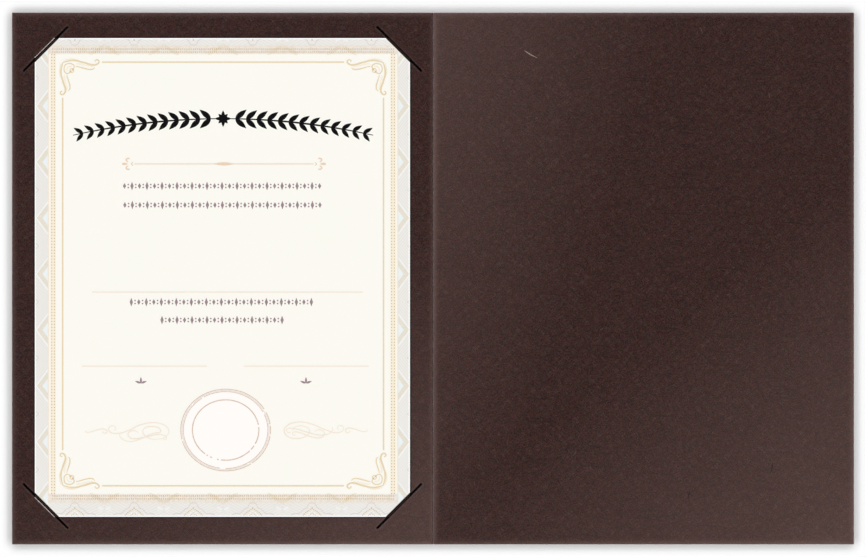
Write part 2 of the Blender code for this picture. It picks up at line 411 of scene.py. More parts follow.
slit_side, pen, source, sink = start_group(
    "slit_side", {"Place": NOWHERE, "Width": SLIT_WIDTH}, ["Beyond", "From Rim"])
from_middle = pen.vector("SUBTRACT", source["Place"], (*SHEET_MIDDLE, 0.0))
spread = pen.axes(pen.vector("SUBTRACT", pen.absolute(from_middle), (*SLIT_MIDDLE, 0.0)))
beyond = pen.math("MULTIPLY", pen.math("ADD", spread[0], spread[1]), math.sqrt(0.5))
along = pen.math("MULTIPLY", pen.math("SUBTRACT", spread[0], spread[1]), math.sqrt(0.5))
half_width = pen.math("MULTIPLY", source["Width"], 0.5)
past_end = pen.math("SUBTRACT", pen.math("ABSOLUTE", along), SLIT_HALF - SLIT_WIDTH / 2)
past_end = pen.math("MAXIMUM", past_end, 0.0)
aside = pen.math("SUBTRACT", beyond, half_width)
from_line = pen.joined(past_end, aside)
from_line = pen.node("ShaderNodeVectorMath", {0: from_line}, operation="LENGTH").outputs["Value"]
pen.feed(sink["Beyond"], beyond)
pen.feed(sink["From Rim"], pen.math("SUBTRACT", from_line, half_width))
print(f"slit_side: slits {2 * SLIT_HALF / MM:.1f} mm long, corners tucked {TUCK_DEPTH / MM:.2f} mm deep")

# %% [markdown]
# ## The card
#
# One function makes every card finish, because they differ only in colour, in where the painted sheen
# and the rub with its painted highlight lie and in what marks they carry. Base colour is the dye, times
# the speckle, plus hairs; the rub, its painted highlight and the painted sheen then mix in a pale grey.
# The speckle and the hairs also raise a Bump, so the low light catches them. Pieces that bend would drag
# the pattern along if it were read from their moving points, so each mesh keeps its place at rest in an
# attribute, and the material reads that.

# %% The card's layers
CARD_BROWN = srgb(52, 31, 28)
# Pale grey mixed in for rub wear and for the painted sheen and highlights.
LINT_AND_SHEEN = srgb(243, 205, 196)
HAIR_PALE = srgb(128, 112, 106)
HAIR_RED = srgb(104, 56, 50)
HAIR_DARK = srgb(24, 15, 14)
RUB_AND_HIGHLIGHT_STRENGTH = 0.070
GRAIN = 0.68 * MM
SPECKLE_STRENGTH = 1.95
SPECKLE_DRIFT = 1.5
HAIR_HEIGHT = 0.5
HOLLOW_DULLNESS = 0.12
# Each layer has a tint, an angle, a share of cells with a hair, a cover, a length, a width and a bend.
HAIR_LAYERS = (
    (HAIR_PALE, 0.8, 0.20, 0.11, 5.0 * MM, 0.45 * MM, 2 * MM),
    (HAIR_DARK, 1.4, 0.25, 0.22, 6.0 * MM, 0.60 * MM, 3 * MM),
    (HAIR_PALE, 2.35, 0.20, 0.10, 4.5 * MM, 0.45 * MM, 2 * MM),
    (HAIR_RED, 2.9, 0.12, 0.25, 5.0 * MM, 0.55 * MM, 3 * MM),
    (HAIR_DARK, 3.7, 0.20, 0.18, 4.5 * MM, 0.55 * MM, 3 * MM),
    (HAIR_DARK, 0.1, 0.08, 0.50, 34.0 * MM, 1.00 * MM, 3 * MM),
    (HAIR_DARK, -0.25, 0.07, 0.45, 26.0 * MM, 0.95 * MM, 3 * MM),
)


def rest_place(pen):
    return pen.node("ShaderNodeAttribute", None, attribute_name="rest_place").outputs["Vector"]


def card_colour(pen, place, dye):
    """The dyed felt: its colour and the height of its surface."""
    speckle = pen.placed(
        felt_speckle, Place=place, Grain=GRAIN, Strength=SPECKLE_STRENGTH, Colour_Drift=SPECKLE_DRIFT)
    colour = pen.mix(1.0, dye, speckle["Colour Factor"], "MULTIPLY")
    height = speckle["Height"]
    for tint, angle, share, cover, length, width, bend in HAIR_LAYERS:
        hairs = pen.placed(
            felt_hairs, Place=place, Angle=angle, Length=length, Width=width, Share=share, Bend=bend)
        colour = pen.mix(pen.math("MULTIPLY", hairs["Mask"], cover), colour, tint)
        height = pen.math("ADD", height, pen.math("MULTIPLY", hairs["Mask"], HAIR_HEIGHT))
    return colour, height


def start_material(name):
    material = bpy.data.materials.new(name)
    material.use_nodes = True
    shader = material.node_tree.nodes["Principled BSDF"]
    shader.inputs["Specular IOR Level"].default_value = 0.15
    return material, NodePen(material.node_tree), shader


def finish_surface(pen, shader, height, rough, distance, strength=0.6):
    """Bump and roughness from the same height. Hollows are duller than what stands up."""
    bump = pen.node("ShaderNodeBump", {"Strength": strength, "Distance": distance, "Height": height})
    pen.feed(shader.inputs["Normal"], bump.outputs[0])
    dullness = pen.math("SUBTRACT", rough, pen.math("MULTIPLY", height, HOLLOW_DULLNESS), clamp=True)
    pen.feed(shader.inputs["Roughness"], dullness)


print(len(HAIR_LAYERS), "layers of hair")

# %% [markdown]
# ### Inner and outer card
#
# Each liner gets its own painted sheen: the right one is palest at the top of the fold and at its lower
# outer corner, the left one at the lower end of the fold. The left liner also carries a painted shadow of
# the sheet, a dark line round it, and a faint painted highlight round each slit. Outside, the cover is the
# same card.

# %% Make the card materials
CARD_ROUGHNESS = 0.97
CARD_BUMP = 0.08 * MM
SLIT_HIGHLIGHT_STRENGTH = 0.018
SLIT_RIM_OUTER = (1.2 * MM, 0.5 * MM)
SLIT_RIM_INNER = (0.05 * MM, 0.4 * MM)
SHEET_SHADOW_STRENGTH = 0.85
SHEET_SHADOW_DARK = srgb(20, 6, 4)
SHEET_SHADOW_EDGE = (0.85 * MM, 0.45 * MM)
SHEET_SHADOW_END = (0.2 * MM, 0.0)


def card_material(name, low, high, sheens, holds_sheet=False):
    """Card for one panel. Low and high are the corners of the area whose edges are rubbed and carry a
    painted highlight.
    """
    material, pen, shader = start_material(name)
    place = rest_place(pen)
    colour, height = card_colour(pen, place, CARD_BROWN)
    middle = ((low.x + high.x) / 2, (low.y + high.y) / 2, 0.0)
    half = ((high.x - low.x) / 2, (high.y - low.y) / 2, 0.0)
    rub_and_highlight = pen.placed(edge_rub_and_highlight, Place=place, Middle=middle, Half_Size=half)["Rub"]
    # The rub also carries a painted highlight along the rims.
    haze = pen.math("MULTIPLY", rub_and_highlight, RUB_AND_HIGHLIGHT_STRENGTH)
    # Painted sheen: pale pools of light mixed into the colour.
    for corner, reach, strength in sheens:
        sheen = pen.placed(painted_sheen, Place=place, Corner=(*corner, 0.0), Reach=(*reach, 1.0))["Bloom"]
        haze = pen.math("ADD", haze, pen.math("MULTIPLY", sheen, strength))
    if holds_sheet:
        # A faint painted highlight round each slit.
        haze = pen.math("ADD", haze, pen.math("MULTIPLY", slit_rim_highlight(pen, place), SLIT_HIGHLIGHT_STRENGTH))
    colour = pen.mix(haze, colour, LINT_AND_SHEEN)
    if holds_sheet:
        # The sheet's shadow on the card is painted as a dark line.
        colour = painted_sheet_shadow(pen, place, colour)
    pen.feed(shader.inputs["Base Color"], colour)
    finish_surface(pen, shader, height, CARD_ROUGHNESS, CARD_BUMP)
    return material


def slit_rim_highlight(pen, place):
    """A narrow band round each slit, a painted highlight along its rim."""
    gap = pen.placed(slit_side, Place=place)["From Rim"]
    return pen.math("MULTIPLY", pen.fade(gap, *SLIT_RIM_OUTER), pen.fade(gap, *SLIT_RIM_INNER))


def painted_sheet_shadow(pen, place, colour):
    """Paints the sheet's shadow: darkens the card along the sheet's edges, up to the slits."""
    edges = pen.placed(edge_rub_and_highlight, Place=place, Middle=(*SHEET_MIDDLE, 0.0), Half_Size=(*SHEET_HALF, 0.0))
    line = pen.fade(edges["Outside"], *SHEET_SHADOW_EDGE)
    beyond = pen.placed(slit_side, Place=place)["Beyond"]
    line = pen.math("MULTIPLY", line, pen.fade(beyond, *SHEET_SHADOW_END))
    return pen.mix(pen.math("MULTIPLY", line, SHEET_SHADOW_STRENGTH), colour, SHEET_SHADOW_DARK)


FOLD_SHADE = Vector((1.2 * MM, 0.0, 0.0))
left_card = card_material("left_card", liner_low, liner_high + FOLD_SHADE,
                          [((0.0, liner_low.y), (0.290, 0.189), 0.048)], True)
right_card = card_material("right_card", right_low, right_high,
                           [((0.0, right_high.y), (0.138, 0.400), 0.042),
                            ((right_high.x, right_low.y), (0.258, 0.215), 0.055)])
cover_card = card_material("cover_card", cover_low, right_cover_high,
                           [((cover_low.x, cover_high.y), (0.30, 0.25), 0.03),
                            ((right_cover_high.x, cover_low.y), (0.25, 0.20), 0.04)])
print("left, right and cover card made")

# %% [markdown]
# ### Painted shade inside, cut edges and painted lip highlights
#
# Three small finishes go with the card. The cover's inner face, seen only down the slits, is painted
# almost black as shade. A cut edge shows the card's core, a little paler and streaked along the cut. And
# on the lips of two slits, over the stretch where a tucked sheet runs under, a thin pale line is painted as
# a highlight.

# %% Make the small card finishes
def streaked_material(name, first, second, roughness):
    """A fibrous finish between two colours, with streaks and a fine nap."""
    material, pen, shader = start_material(name)
    place = rest_place(pen)
    speckle = pen.placed(felt_speckle, Place=place, Grain=0.6 * MM, Strength=1.0, Colour_Drift=0.3)
    streaks = pen.placed(felt_hairs, Place=place, Angle=0.8, Length=5 * MM, Width=0.5 * MM, Share=0.5)
    colour = pen.mix(streaks["Mask"], first, second)
    pen.feed(shader.inputs["Base Color"], pen.mix(1.0, colour, speckle["Colour Factor"], "MULTIPLY"))
    finish_surface(pen, shader, speckle["Height"], roughness, 0.05 * MM)
    return material


# Painted shade: the cover's inside shows only down the slits, so it is made near black.
painted_shade_inside = streaked_material("painted_shade_inside", srgb(7, 9, 10), srgb(16, 17, 18), 0.95)
cut_edge = streaked_material("cut_edge", srgb(66, 46, 42), srgb(88, 66, 60), 0.95)
# Painted highlight: the pale line along the lips of two slits.
lip_highlight = streaked_material("lip_highlight", srgb(196, 188, 184), srgb(226, 220, 216), 0.9)
# Painted highlight: the pale finish of the fold's right half.
fold_highlight = streaked_material("fold_highlight", srgb(162, 141, 138), srgb(190, 170, 167), 0.95)
print("stained inside, cut edge, worn lip and fold made")

# %% [markdown]
# ## Pieces of card
#
# A sheet of card is flat with eased edges: knives and handling round them by a tenth of a millimetre. A
# Bevel modifier could do it, but some edges have to stay square, where two pieces are one sheet on the
# real object and only bend against each other. So the plate is built in four rings, and each edge can
# say no to the easing.

# %% Build a plate with eased edges
SQUARE_FADE = 0.6 * MM
LARGEST_DROP = 0.3
SAME_PLACE = 1e-7


def eased_outline(points, square_edges, ease):
    """Gives each outline point its easing. Edges named by their first point's index stay square."""
    eased = []
    for index, point in enumerate(points):
        before = (index - 1) % len(points) in square_edges
        after = index in square_edges
        point = Vector(point)
        if before and not after:
            onward = (Vector(points[(index + 1) % len(points)]) - point).normalized()
            eased += [(point, 0.0), (point + onward * SQUARE_FADE, ease)]
        elif after and not before:
            back = (Vector(points[index - 1]) - point).normalized()
            eased += [(point + back * SQUARE_FADE, ease), (point, 0.0)]
        else:
            eased.append((point, 0.0 if before else ease))
    return eased


def inset(eased):
    """The outline moved inwards by each point's own easing."""
    moved = []
    for index, (point, ease) in enumerate(eased):
        before = (point - eased[index - 1][0]).normalized()
        after = (eased[(index + 1) % len(eased)][0] - point).normalized()
        normals = Vector((-before.y, before.x)), Vector((-after.y, after.x))
        mitre = (normals[0] + normals[1]) / (1 + normals[0].dot(normals[1]))
        moved.append(point + mitre * ease)
    return moved


def eased_plate(eased, low, high, faces=(0, 1, 0)):
    """A plate between two levels. Faces are the material slots of its top, edge and underside."""
    shape = bmesh.new()
    drops = [min(ease, LARGEST_DROP * (high - low)) for point, ease in eased]
    outer = [point for point, ease in eased]
    inner = inset(eased)
    rings = [
        [shape.verts.new((*p, low)) for p in inner],
        [shape.verts.new((*p, low + d)) for p, d in zip(outer, drops)],
        [shape.verts.new((*p, high - d)) for p, d in zip(outer, drops)],
        [shape.verts.new((*p, high)) for p in inner],
    ]
    for ring, slot in zip(range(3), (faces[2], faces[1], faces[0])):
        for k in range(len(outer)):
            m = (k + 1) % len(outer)
            wall = (rings[ring][k], rings[ring][m], rings[ring + 1][m], rings[ring + 1][k])
            shape.faces.new(wall).material_index = slot
    shape.faces.new(rings[3]).material_index = faces[0]
    shape.faces.new(rings[0][::-1]).material_index = faces[2]
    bmesh.ops.remove_doubles(shape, verts=shape.verts, dist=SAME_PLACE)
    return shape


print("plates ease their edges")

# %% Turn a shape into a piece
def make_piece(name, shape, materials):
    """A named mesh object that remembers its place at rest and holds its materials in slots."""
    bmesh.ops.recalc_face_normals(shape, faces=shape.faces)
    mesh = bpy.data.meshes.new(name)
    shape.to_mesh(mesh)
    shape.free()
    rest = mesh.attributes.new("rest_place", "FLOAT_VECTOR", "POINT")
    places = [value for vertex in mesh.vertices for value in vertex.co]
    rest.data.foreach_set("vector", places)
    for material in materials:
        mesh.materials.append(material)
    piece = bpy.data.objects.new(name, mesh)
    bpy.context.collection.objects.link(piece)
    print(f"{name}: {len(mesh.polygons)} faces")
    return piece


def rectangle(low, high):
    return [(low.x, low.y), (high.x, low.y), (high.x, high.y), (low.x, high.y)]


CARD_EASE = 0.12 * MM
print("card edges eased by", CARD_EASE / MM, "mm")

# %% [markdown]
# ### Cover and right liner
#
# The cover is one sheet, scored down the middle. It is made as two plates and a strip between them that
# bends, and the plates stay square where they meet the strip. The right liner is a plain sheet.

# %% Make the covers and the right liner
right_edge, left_edge = 1, 3
cover_finishes = [cover_card, painted_shade_inside, cut_edge]
COVER_FACES = (1, 2, 0)
left_cover_shape = eased_plate(
    eased_outline(rectangle(cover_low, cover_high), {right_edge}, CARD_EASE),
    cover_low.z, cover_high.z, COVER_FACES)
left_cover = make_piece("left_cover_card", left_cover_shape, cover_finishes)
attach(left_cover, "left_panel")
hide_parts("left_cover")

right_cover_shape = eased_plate(
    eased_outline(rectangle(right_cover_low, right_cover_high), {left_edge}, CARD_EASE),
    right_cover_low.z, right_cover_high.z, COVER_FACES)
right_cover = make_piece("right_cover_card", right_cover_shape, cover_finishes)
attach(right_cover, "right_panel")
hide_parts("right_cover")

right_outline = eased_outline(rectangle(right_low, right_high), set(), CARD_EASE)
right_shape = eased_plate(right_outline, right_low.z, right_high.z)
right_liner = make_piece("right_liner_card", right_shape, [right_card, cut_edge])
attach(right_liner, "right_panel")
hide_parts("right_liner")

# %% [markdown]
# ### The scored fold
#
# A scoring rule has pressed a full, rounded bead into the strip, so the cover folds in one straight line
# and the bead fills the gap between the liners. The half next to the right panel gets a pale finish of
# its own, a painted highlight along the fold. On the closed folder the strip becomes the round spine.

# %% Make the fold strip
FOLD_STEPS = 72
SCORE_CLEARANCE = 0.1 * MM
SCORE_HALF = right_low.x - SCORE_CLEARANCE
SCORE_DEPTH = crease_high.z - cover_high.z
SCORE_FULLNESS = 4
OUTSIDE, HIGHLIT, CUT, PLAIN = range(4)


def score_height(x):
    return SCORE_DEPTH * max(0.0, 1 - abs(x / SCORE_HALF) ** SCORE_FULLNESS)


fold_shape = bmesh.new()
fold_rows = []
for step in range(FOLD_STEPS + 1):
    x = cover_high.x + (right_cover_low.x - cover_high.x) * step / FOLD_STEPS
    under = score_height(x)
    over = under + cover_high.z - cover_low.z
    corners = [(crease_low.y, under), (crease_high.y, under), (crease_high.y, over), (crease_low.y, over)]
    fold_rows.append([fold_shape.verts.new((x, y, z)) for y, z in corners])
for near, far in zip(fold_rows, fold_rows[1:]):
    # The right half of the fold gets the pale painted highlight.
    over_slot = HIGHLIT if near[0].co.x > -SCORE_CLEARANCE else PLAIN
    for k, slot in enumerate((OUTSIDE, CUT, over_slot, CUT)):
        m = (k + 1) % 4
        fold_shape.faces.new((near[k], near[m], far[m], far[k])).material_index = slot
fold_shape.faces.new(fold_rows[0]).material_index = CUT
fold_shape.faces.new(fold_rows[-1][::-1]).material_index = CUT
fold_finishes = [cover_card, fold_highlight, cut_edge, left_card]
fold_strip = make_piece("fold_strip", fold_shape, fold_finishes)
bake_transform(fold_strip)
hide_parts("fold_crease")

# %% [markdown]
# ### Left liner and its corner tabs
#
# The die cuts four slits across the corners and leaves a short neck at both ends of each. The liner
# bends on those necks when a corner is lifted. Here the field between the slits is one plate, and each
# corner beyond its slit is another. They meet edge to edge along the necks, where both stay square, so
# no seam shows. Positions near a slit are given along it (u) and outwards across it (v), from the middle
# of its inner lip.

# %% Describe a slit
CORNER_SIGNS = {"top_right": (1, 1), "top_left": (-1, 1), "bottom_left": (-1, -1), "bottom_right": (1, -1)}


class Slit:
    """One slit of the left liner, seen from the middle of its inner lip."""

    def __init__(self, name):
        sign_x, sign_y = CORNER_SIGNS[name]
        self.name = name
        self.body = "tab_" + name
        self.along = Vector((sign_y, -sign_x)) / math.sqrt(2)
        self.outward = Vector((sign_x, sign_y)) / math.sqrt(2)
        self.middle = slit_joints[self.body].xy - self.outward * NECK_GAP / 2
        edge_x = liner_high.x if sign_x > 0 else liner_low.x
        edge_y = liner_high.y if sign_y > 0 else liner_low.y
        self.panel_corner = Vector((edge_x, edge_y))

    def place(self, u, v):
        return self.middle + u * self.along + v * self.outward

    def edges(self):
        """Where the slit line meets the panel's two edges, lowest u first."""
        gap = self.panel_corner - self.middle
        return sorted((gap.x / self.along.x, gap.y / self.along.y))


slits = [Slit(name) for name in CORNER_SIGNS]
print(f"each slit is {2 * SLIT_HALF / MM:.1f} mm long")

# %% Make the liner's field
field_points = []
neck_edges = set()
for slit in slits:
    lower, upper = slit.edges()
    start = len(field_points)
    field_points += [slit.place(u, 0.0) for u in (upper, SLIT_HALF, -SLIT_HALF, lower)]
    neck_edges |= {start, start + 2}
field_shape = eased_plate(eased_outline(field_points, neck_edges, CARD_EASE), liner_low.z, liner_high.z)
left_liner = make_piece("left_liner_card", field_shape, [left_card, cut_edge])
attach(left_liner, "left_panel")
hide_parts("left_liner")

# %% Make the corner tabs
NECK_BEND = 0.6 * MM
NECK_ROWS = 4
LIP_STEPS = 8
LIP_RADIUS = SLIT_WIDTH - NECK_GAP
LIP_HIGHLIGHT_EASE = 0.34 * MM
LIP_TOLERANCE = 0.01 * MM
LIP_SLOPE = 0.1
LIP_SLOT = 2
HIGHLIGHT_CORNERS = ("top_left", "bottom_left")


def lip_end(side):
    """The rounded end of the outer lip, from the neck to the straight lip."""
    angles = [k / LIP_STEPS * math.pi / 2 for k in range(LIP_STEPS + 1)]
    centre = SLIT_HALF - LIP_RADIUS
    bends = [(LIP_RADIUS * math.cos(a), LIP_RADIUS * math.sin(a)) for a in angles]
    return [(side * (centre + u), NECK_GAP + v) for u, v in bends]


def make_tab(slit):
    lower, upper = slit.edges()
    gap = slit.panel_corner - slit.middle
    tip = (gap.dot(slit.along), gap.dot(slit.outward))
    straight_half = TUCK_DEPTH - SLIT_WIDTH
    lip = [*lip_end(-1), (-straight_half, SLIT_WIDTH), (straight_half, SLIT_WIDTH), *lip_end(1)[::-1]]
    outline = [(lower, 0.0), (-SLIT_HALF, 0.0), *lip, (SLIT_HALF, 0.0), (upper, 0.0), tip]
    square = {0, len(outline) - 3}
    points = [slit.place(u, v) for u, v in outline]
    eased = eased_outline(points, square, CARD_EASE)
    # Two lips get a painted highlight, pale faces where light would catch them.
    highlighted = slit.name in HIGHLIGHT_CORNERS
    if highlighted:
        eased = [(p, LIP_HIGHLIGHT_EASE if on_highlight_lip(slit, p) else ease) for p, ease in eased]
    shape = eased_plate(eased, liner_low.z, liner_high.z)
    if highlighted:
        paint_lip_highlight(slit, shape)
    for row in range(1, NECK_ROWS + 1):
        cut = slit.place(0.0, NECK_BEND * row / NECK_ROWS)
        geometry = shape.verts[:] + shape.edges[:] + shape.faces[:]
        bmesh.ops.bisect_plane(
            shape, geom=geometry, dist=SAME_PLACE, plane_co=(*cut, 0.0), plane_no=(*slit.outward, 0.0))
    tab = make_piece("corner_tab_card_" + slit.name, shape, [left_card, cut_edge, lip_highlight])
    start = (*slit.place(0.0, 0.0), liner_high.z)
    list(slit.place(0.0, NECK_BEND))
    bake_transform(tab)
    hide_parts("corner_tab_" + slit.name)


def on_highlight_lip(slit, point):
    offset = Vector(point) - slit.middle
    on_lip = abs(offset.dot(slit.outward) - SLIT_WIDTH) < LIP_TOLERANCE
    return on_lip and abs(offset.dot(slit.along)) < TUCK_DEPTH


def paint_lip_highlight(slit, shape):
    """Paints a highlight: gives the sloping faces of the lip a pale finish, as if light caught them."""
    for face in shape.faces:
        offset = face.calc_center_median().xy - slit.middle
        near_lip = abs(offset.dot(slit.outward) - SLIT_WIDTH - LIP_HIGHLIGHT_EASE / 2) < LIP_HIGHLIGHT_EASE
        on_highlight = near_lip and abs(offset.dot(slit.along)) < TUCK_DEPTH / 2
        slopes = face.normal.z > LIP_SLOPE and len(face.verts) == 4
        if on_highlight and slopes:
            face.material_index = LIP_SLOT


for slit in slits:
    make_tab(slit)

# %% [markdown]
# ## The certificate's paper
#
# The sheet is smooth white paper, and most of its colour is print. The broad tints belong in the paper's
# material: a bare white rim, a grey band of fine engraved lines, a narrow beige frame and a cream field.
# Each is a rectangle, so the distance to a rectangle, which edge_rub_and_highlight already gives, sorts
# them. Line work comes later as thin raised ink. Where a corner runs down through its slit, the paper is
# painted dark brown as the slit's shade.

# %% Layout of the print
PRINT_MIDDLE = SHEET_MIDDLE + Vector((0.4, 2.0)) * MM
PRINT_RIM = 0.7 * MM
BAND_HALF = Vector((100.3, 131.0)) * MM
FIELD_HALF = Vector((95.9, 126.0)) * MM
DOT_BAND = 98.8 * MM
SIDE_REPEAT = 32.07 * MM
END_REPEAT = 34.0 * MM
RIM_WHITE = srgb(255, 255, 255)
BAND_GREY = srgb(236, 236, 232)
BAND_BLUSH = srgb(232, 226, 220)
FRAME_CREAM = srgb(251, 245, 234)
FRAME_PEACH = srgb(246, 237, 217)
FRAME_BEIGE = srgb(237, 231, 223)
FRAME_FLECK = srgb(231, 221, 205)
FIELD_CREAM = srgb(250, 247, 239)
FIELD_COOL = srgb(249, 248, 240)
SLIT_SHADE_BROWN = srgb(26, 9, 6)
SLIT_SHADE_START = (-0.6 * MM, -0.5 * MM)
SLIT_SHADE_END = (2.2 * MM, 1.6 * MM)


def inside(pen, place, middle, half, soft=0.25 * MM):
    """1 inside a rectangle and 0 outside it, with a soft border."""
    edges = pen.placed(edge_rub_and_highlight, Place=place, Middle=(*middle, 0.0), Half_Size=(*half, 0.0))
    return pen.fade(edges["Outside"], soft / 2, -soft / 2)


print("print is centred", (PRINT_MIDDLE - SHEET_MIDDLE) / MM, "mm from the sheet's middle")

# %% [markdown]
# ### Engraved lines and paper tooth
#
# Engravers fill a border with families of fine lines that repeat the outline of its motifs, so that it
# is hard to copy. Drawn as geometry that would be thousands of hairlines, each thinner than a pixel.
# Here the place along the border is folded back and forth with Ping-Pong, added to the place across it
# and sent through a sine, which gives a zigzag of faint lines. The paper's own tooth is a very fine
# noise.

# %% Groups: engraved_net and paper_tooth
TOOTH_SCALE = 2600.0
TONE_SCALE = 14.0

engraved_net, pen, source, sink = start_group(
    "engraved_net",
    {"Along": 0.0, "Across": 0.0, "Repeat": 0.03, "Lean": 0.8, "Spacing": 1.6 * MM},
    ["Lines"],
)
folded = pen.math("PINGPONG", source["Along"], pen.math("MULTIPLY", source["Repeat"], 0.5))
phase = pen.math("ADD", source["Across"], pen.math("MULTIPLY", folded, source["Lean"]))
phase = pen.math("MULTIPLY", pen.math("DIVIDE", phase, source["Spacing"]), 2 * math.pi)
wave = pen.math("MULTIPLY", pen.math("SINE", phase), 0.5)
pen.feed(sink["Lines"], pen.math("ADD", wave, 0.5))

paper_tooth, pen, source, sink = start_group("paper_tooth", {"Place": NOWHERE}, ["Tooth", "Cloud"])
pen.feed(sink["Tooth"], pen.noise(source["Place"], TOOTH_SCALE, 2.0).outputs[0])
pen.feed(sink["Cloud"], pen.noise(source["Place"], TONE_SCALE, 1.0).outputs[0])
print("engraved_net and paper_tooth made")

# %% Make the paper
SIDE_LEAN = 0.81
END_LEAN = -0.5
FLECK_SCALE = 900.0
FLECK_FADE = (0.4, 0.65)


def border_tint(pen, place, cloud):
    """The grey band: zigzag lines along the sides, flatter ones along the ends."""
    offset = pen.axes(pen.vector("SUBTRACT", place, (*PRINT_MIDDLE, 0.0)))
    from_side = pen.math("ABSOLUTE", offset[0])
    from_end = pen.math("ABSOLUTE", offset[1])
    sides = pen.placed(
        engraved_net, Along=offset[1], Across=from_side, Repeat=SIDE_REPEAT, Lean=SIDE_LEAN)["Lines"]
    ends = pen.placed(
        engraved_net, Along=offset[0], Across=from_end, Repeat=END_REPEAT, Lean=END_LEAN)["Lines"]
    at_end = pen.fade(from_end, BAND_HALF.y - 1 * MM, BAND_HALF.y)
    lines = pen.math("ADD", pen.math("MULTIPLY", sides, pen.math("SUBTRACT", 1.0, at_end)),
                     pen.math("MULTIPLY", ends, at_end))
    return pen.mix(pen.math("MULTIPLY", lines, pen.fade(cloud, 0.1, 0.5)), BAND_GREY, BAND_BLUSH)


def paper_material():
    material, pen, shader = start_material("certificate_paper")
    place = rest_place(pen)
    grain = pen.placed(paper_tooth, Place=place)
    flecks = pen.fade(pen.noise(place, FLECK_SCALE, 1.0).outputs[0], *FLECK_FADE)
    in_print = inside(pen, place, SHEET_MIDDLE, SHEET_HALF - Vector((PRINT_RIM, PRINT_RIM)))
    colour = pen.mix(in_print, RIM_WHITE, border_tint(pen, place, grain["Cloud"]))
    lace = pen.mix(flecks, FRAME_BEIGE, FRAME_FLECK)
    colour = pen.mix(inside(pen, place, PRINT_MIDDLE, BAND_HALF), colour, lace)
    sides = Vector((BAND_HALF.x, FIELD_HALF.y))
    colour = pen.mix(inside(pen, place, PRINT_MIDDLE, sides, 0.6 * MM), colour, FRAME_CREAM)
    dotted = Vector((DOT_BAND, FIELD_HALF.y))
    colour = pen.mix(inside(pen, place, PRINT_MIDDLE, dotted, 0.6 * MM), colour, FRAME_PEACH)
    field = pen.mix(grain["Cloud"], FIELD_CREAM, FIELD_COOL)
    colour = pen.mix(inside(pen, place, PRINT_MIDDLE, FIELD_HALF, 1.0 * MM), colour, field)
    beyond = pen.placed(slit_side, Place=place)["Beyond"]
    # Painted shade: the paper is darkened where a corner runs down into its slit.
    slit_shade = pen.math("MULTIPLY", pen.fade(beyond, *SLIT_SHADE_START), pen.fade(beyond, *SLIT_SHADE_END))
    pen.feed(shader.inputs["Base Color"], pen.mix(slit_shade, colour, SLIT_SHADE_BROWN))
    finish_surface(pen, shader, grain["Tooth"], 0.8, 0.01 * MM, 0.3)
    return material


paper = paper_material()
print("paper has", len(paper.node_tree.nodes), "nodes")

# %% [markdown]
# ### The sheet itself
#
# The sheet lies on the liner, and each corner slopes down through its slit and lies flat under the tab.
# The frame's solid has that form with a few facets. Here the slope has more steps, so that it looks
# rounded when a tab is lifted and the corner shows.

# %% Make the sheet
DIP_CLEARANCE = 0.1 * MM
DIP_STEPS = 20


def dip(share):
    return -SHEET_DROP * share * share * (3 - 2 * share)


def in_order(parts, place):
    """Sorts a mesh's points or faces by place, because an extrusion may store them in any order."""
    ranks = {part: rank for rank, part in enumerate(sorted(parts, key=place))}
    parts.sort(key=ranks.get)


def make_sheet():
    shape = bmesh.new()
    field = []
    faces = []
    for slit in slits:
        stations = [(0.0, 0.0)]
        for step in range(DIP_STEPS + 1):
            share = step / DIP_STEPS
            stations.append((DIP_CLEARANCE + share * (SLIT_WIDTH - 2 * DIP_CLEARANCE), dip(share)))
        rows = []
        for v, height in stations:
            ends = [slit.place(u, v) for u in (TUCK_DEPTH - v, v - TUCK_DEPTH)]
            rows.append([shape.verts.new((*p, SHEET_LEVEL + height)) for p in ends])
        tip = shape.verts.new((*slit.place(0.0, TUCK_DEPTH), SHEET_LEVEL - SHEET_DROP))
        for near, far in zip(rows, rows[1:]):
            faces.append(shape.faces.new((near[0], far[0], far[1], near[1])))
        faces.append(shape.faces.new((rows[-1][0], tip, rows[-1][1])))
        field += rows[0]
    faces.append(shape.faces.new(field))
    grown = bmesh.ops.extrude_face_region(shape, geom=faces)["geom"]
    lifted = [item for item in grown if isinstance(item, bmesh.types.BMVert)]
    bmesh.ops.translate(shape, verts=lifted, vec=(0, 0, SHEET_THICKNESS))
    in_order(shape.verts, lambda vert: tuple(vert.co))
    in_order(shape.faces, lambda face: tuple(face.calc_center_median()))
    return shape


sheet = make_piece("certificate_paper_sheet", make_sheet(), [paper])
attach(sheet, "left_panel")
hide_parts("certificate_sheet")

# %% [markdown]
# ## Ink
#
# Engraved printing leaves a film of ink that stands a hair above the paper. Each line is therefore a
# thin solid ribbon on the sheet, so it keeps its crisp edge however close one looks, and all lines of
# one colour are one piece. The ink is never quite even, so a shared group lets a little paper show
# through.

# %% Ink materials
FILM_SCALE = 1500.0
FILM_FADE = (0.45, 0.7)

ink_cover, pen, source, sink = start_group(
    "ink_cover", {"Place": NOWHERE, "Bare": 0.25}, ["Paper Share", "Film"])
film = pen.noise(source["Place"], FILM_SCALE, 2.0).outputs[0]
pen.feed(sink["Paper Share"], pen.math("MULTIPLY", pen.fade(film, *FILM_FADE), source["Bare"]))
pen.feed(sink["Film"], film)


def ink_material(name, colour, bare=0.2, shine=0.15):
    material, pen, shader = start_material(name)
    shader.inputs["Specular IOR Level"].default_value = shine
    ink = pen.placed(ink_cover, Place=rest_place(pen), Bare=bare)
    pen.feed(shader.inputs["Base Color"], pen.mix(ink["Paper Share"], colour, FIELD_CREAM))
    finish_surface(pen, shader, ink["Film"], 0.72, 0.004 * MM, 0.3)
    return material


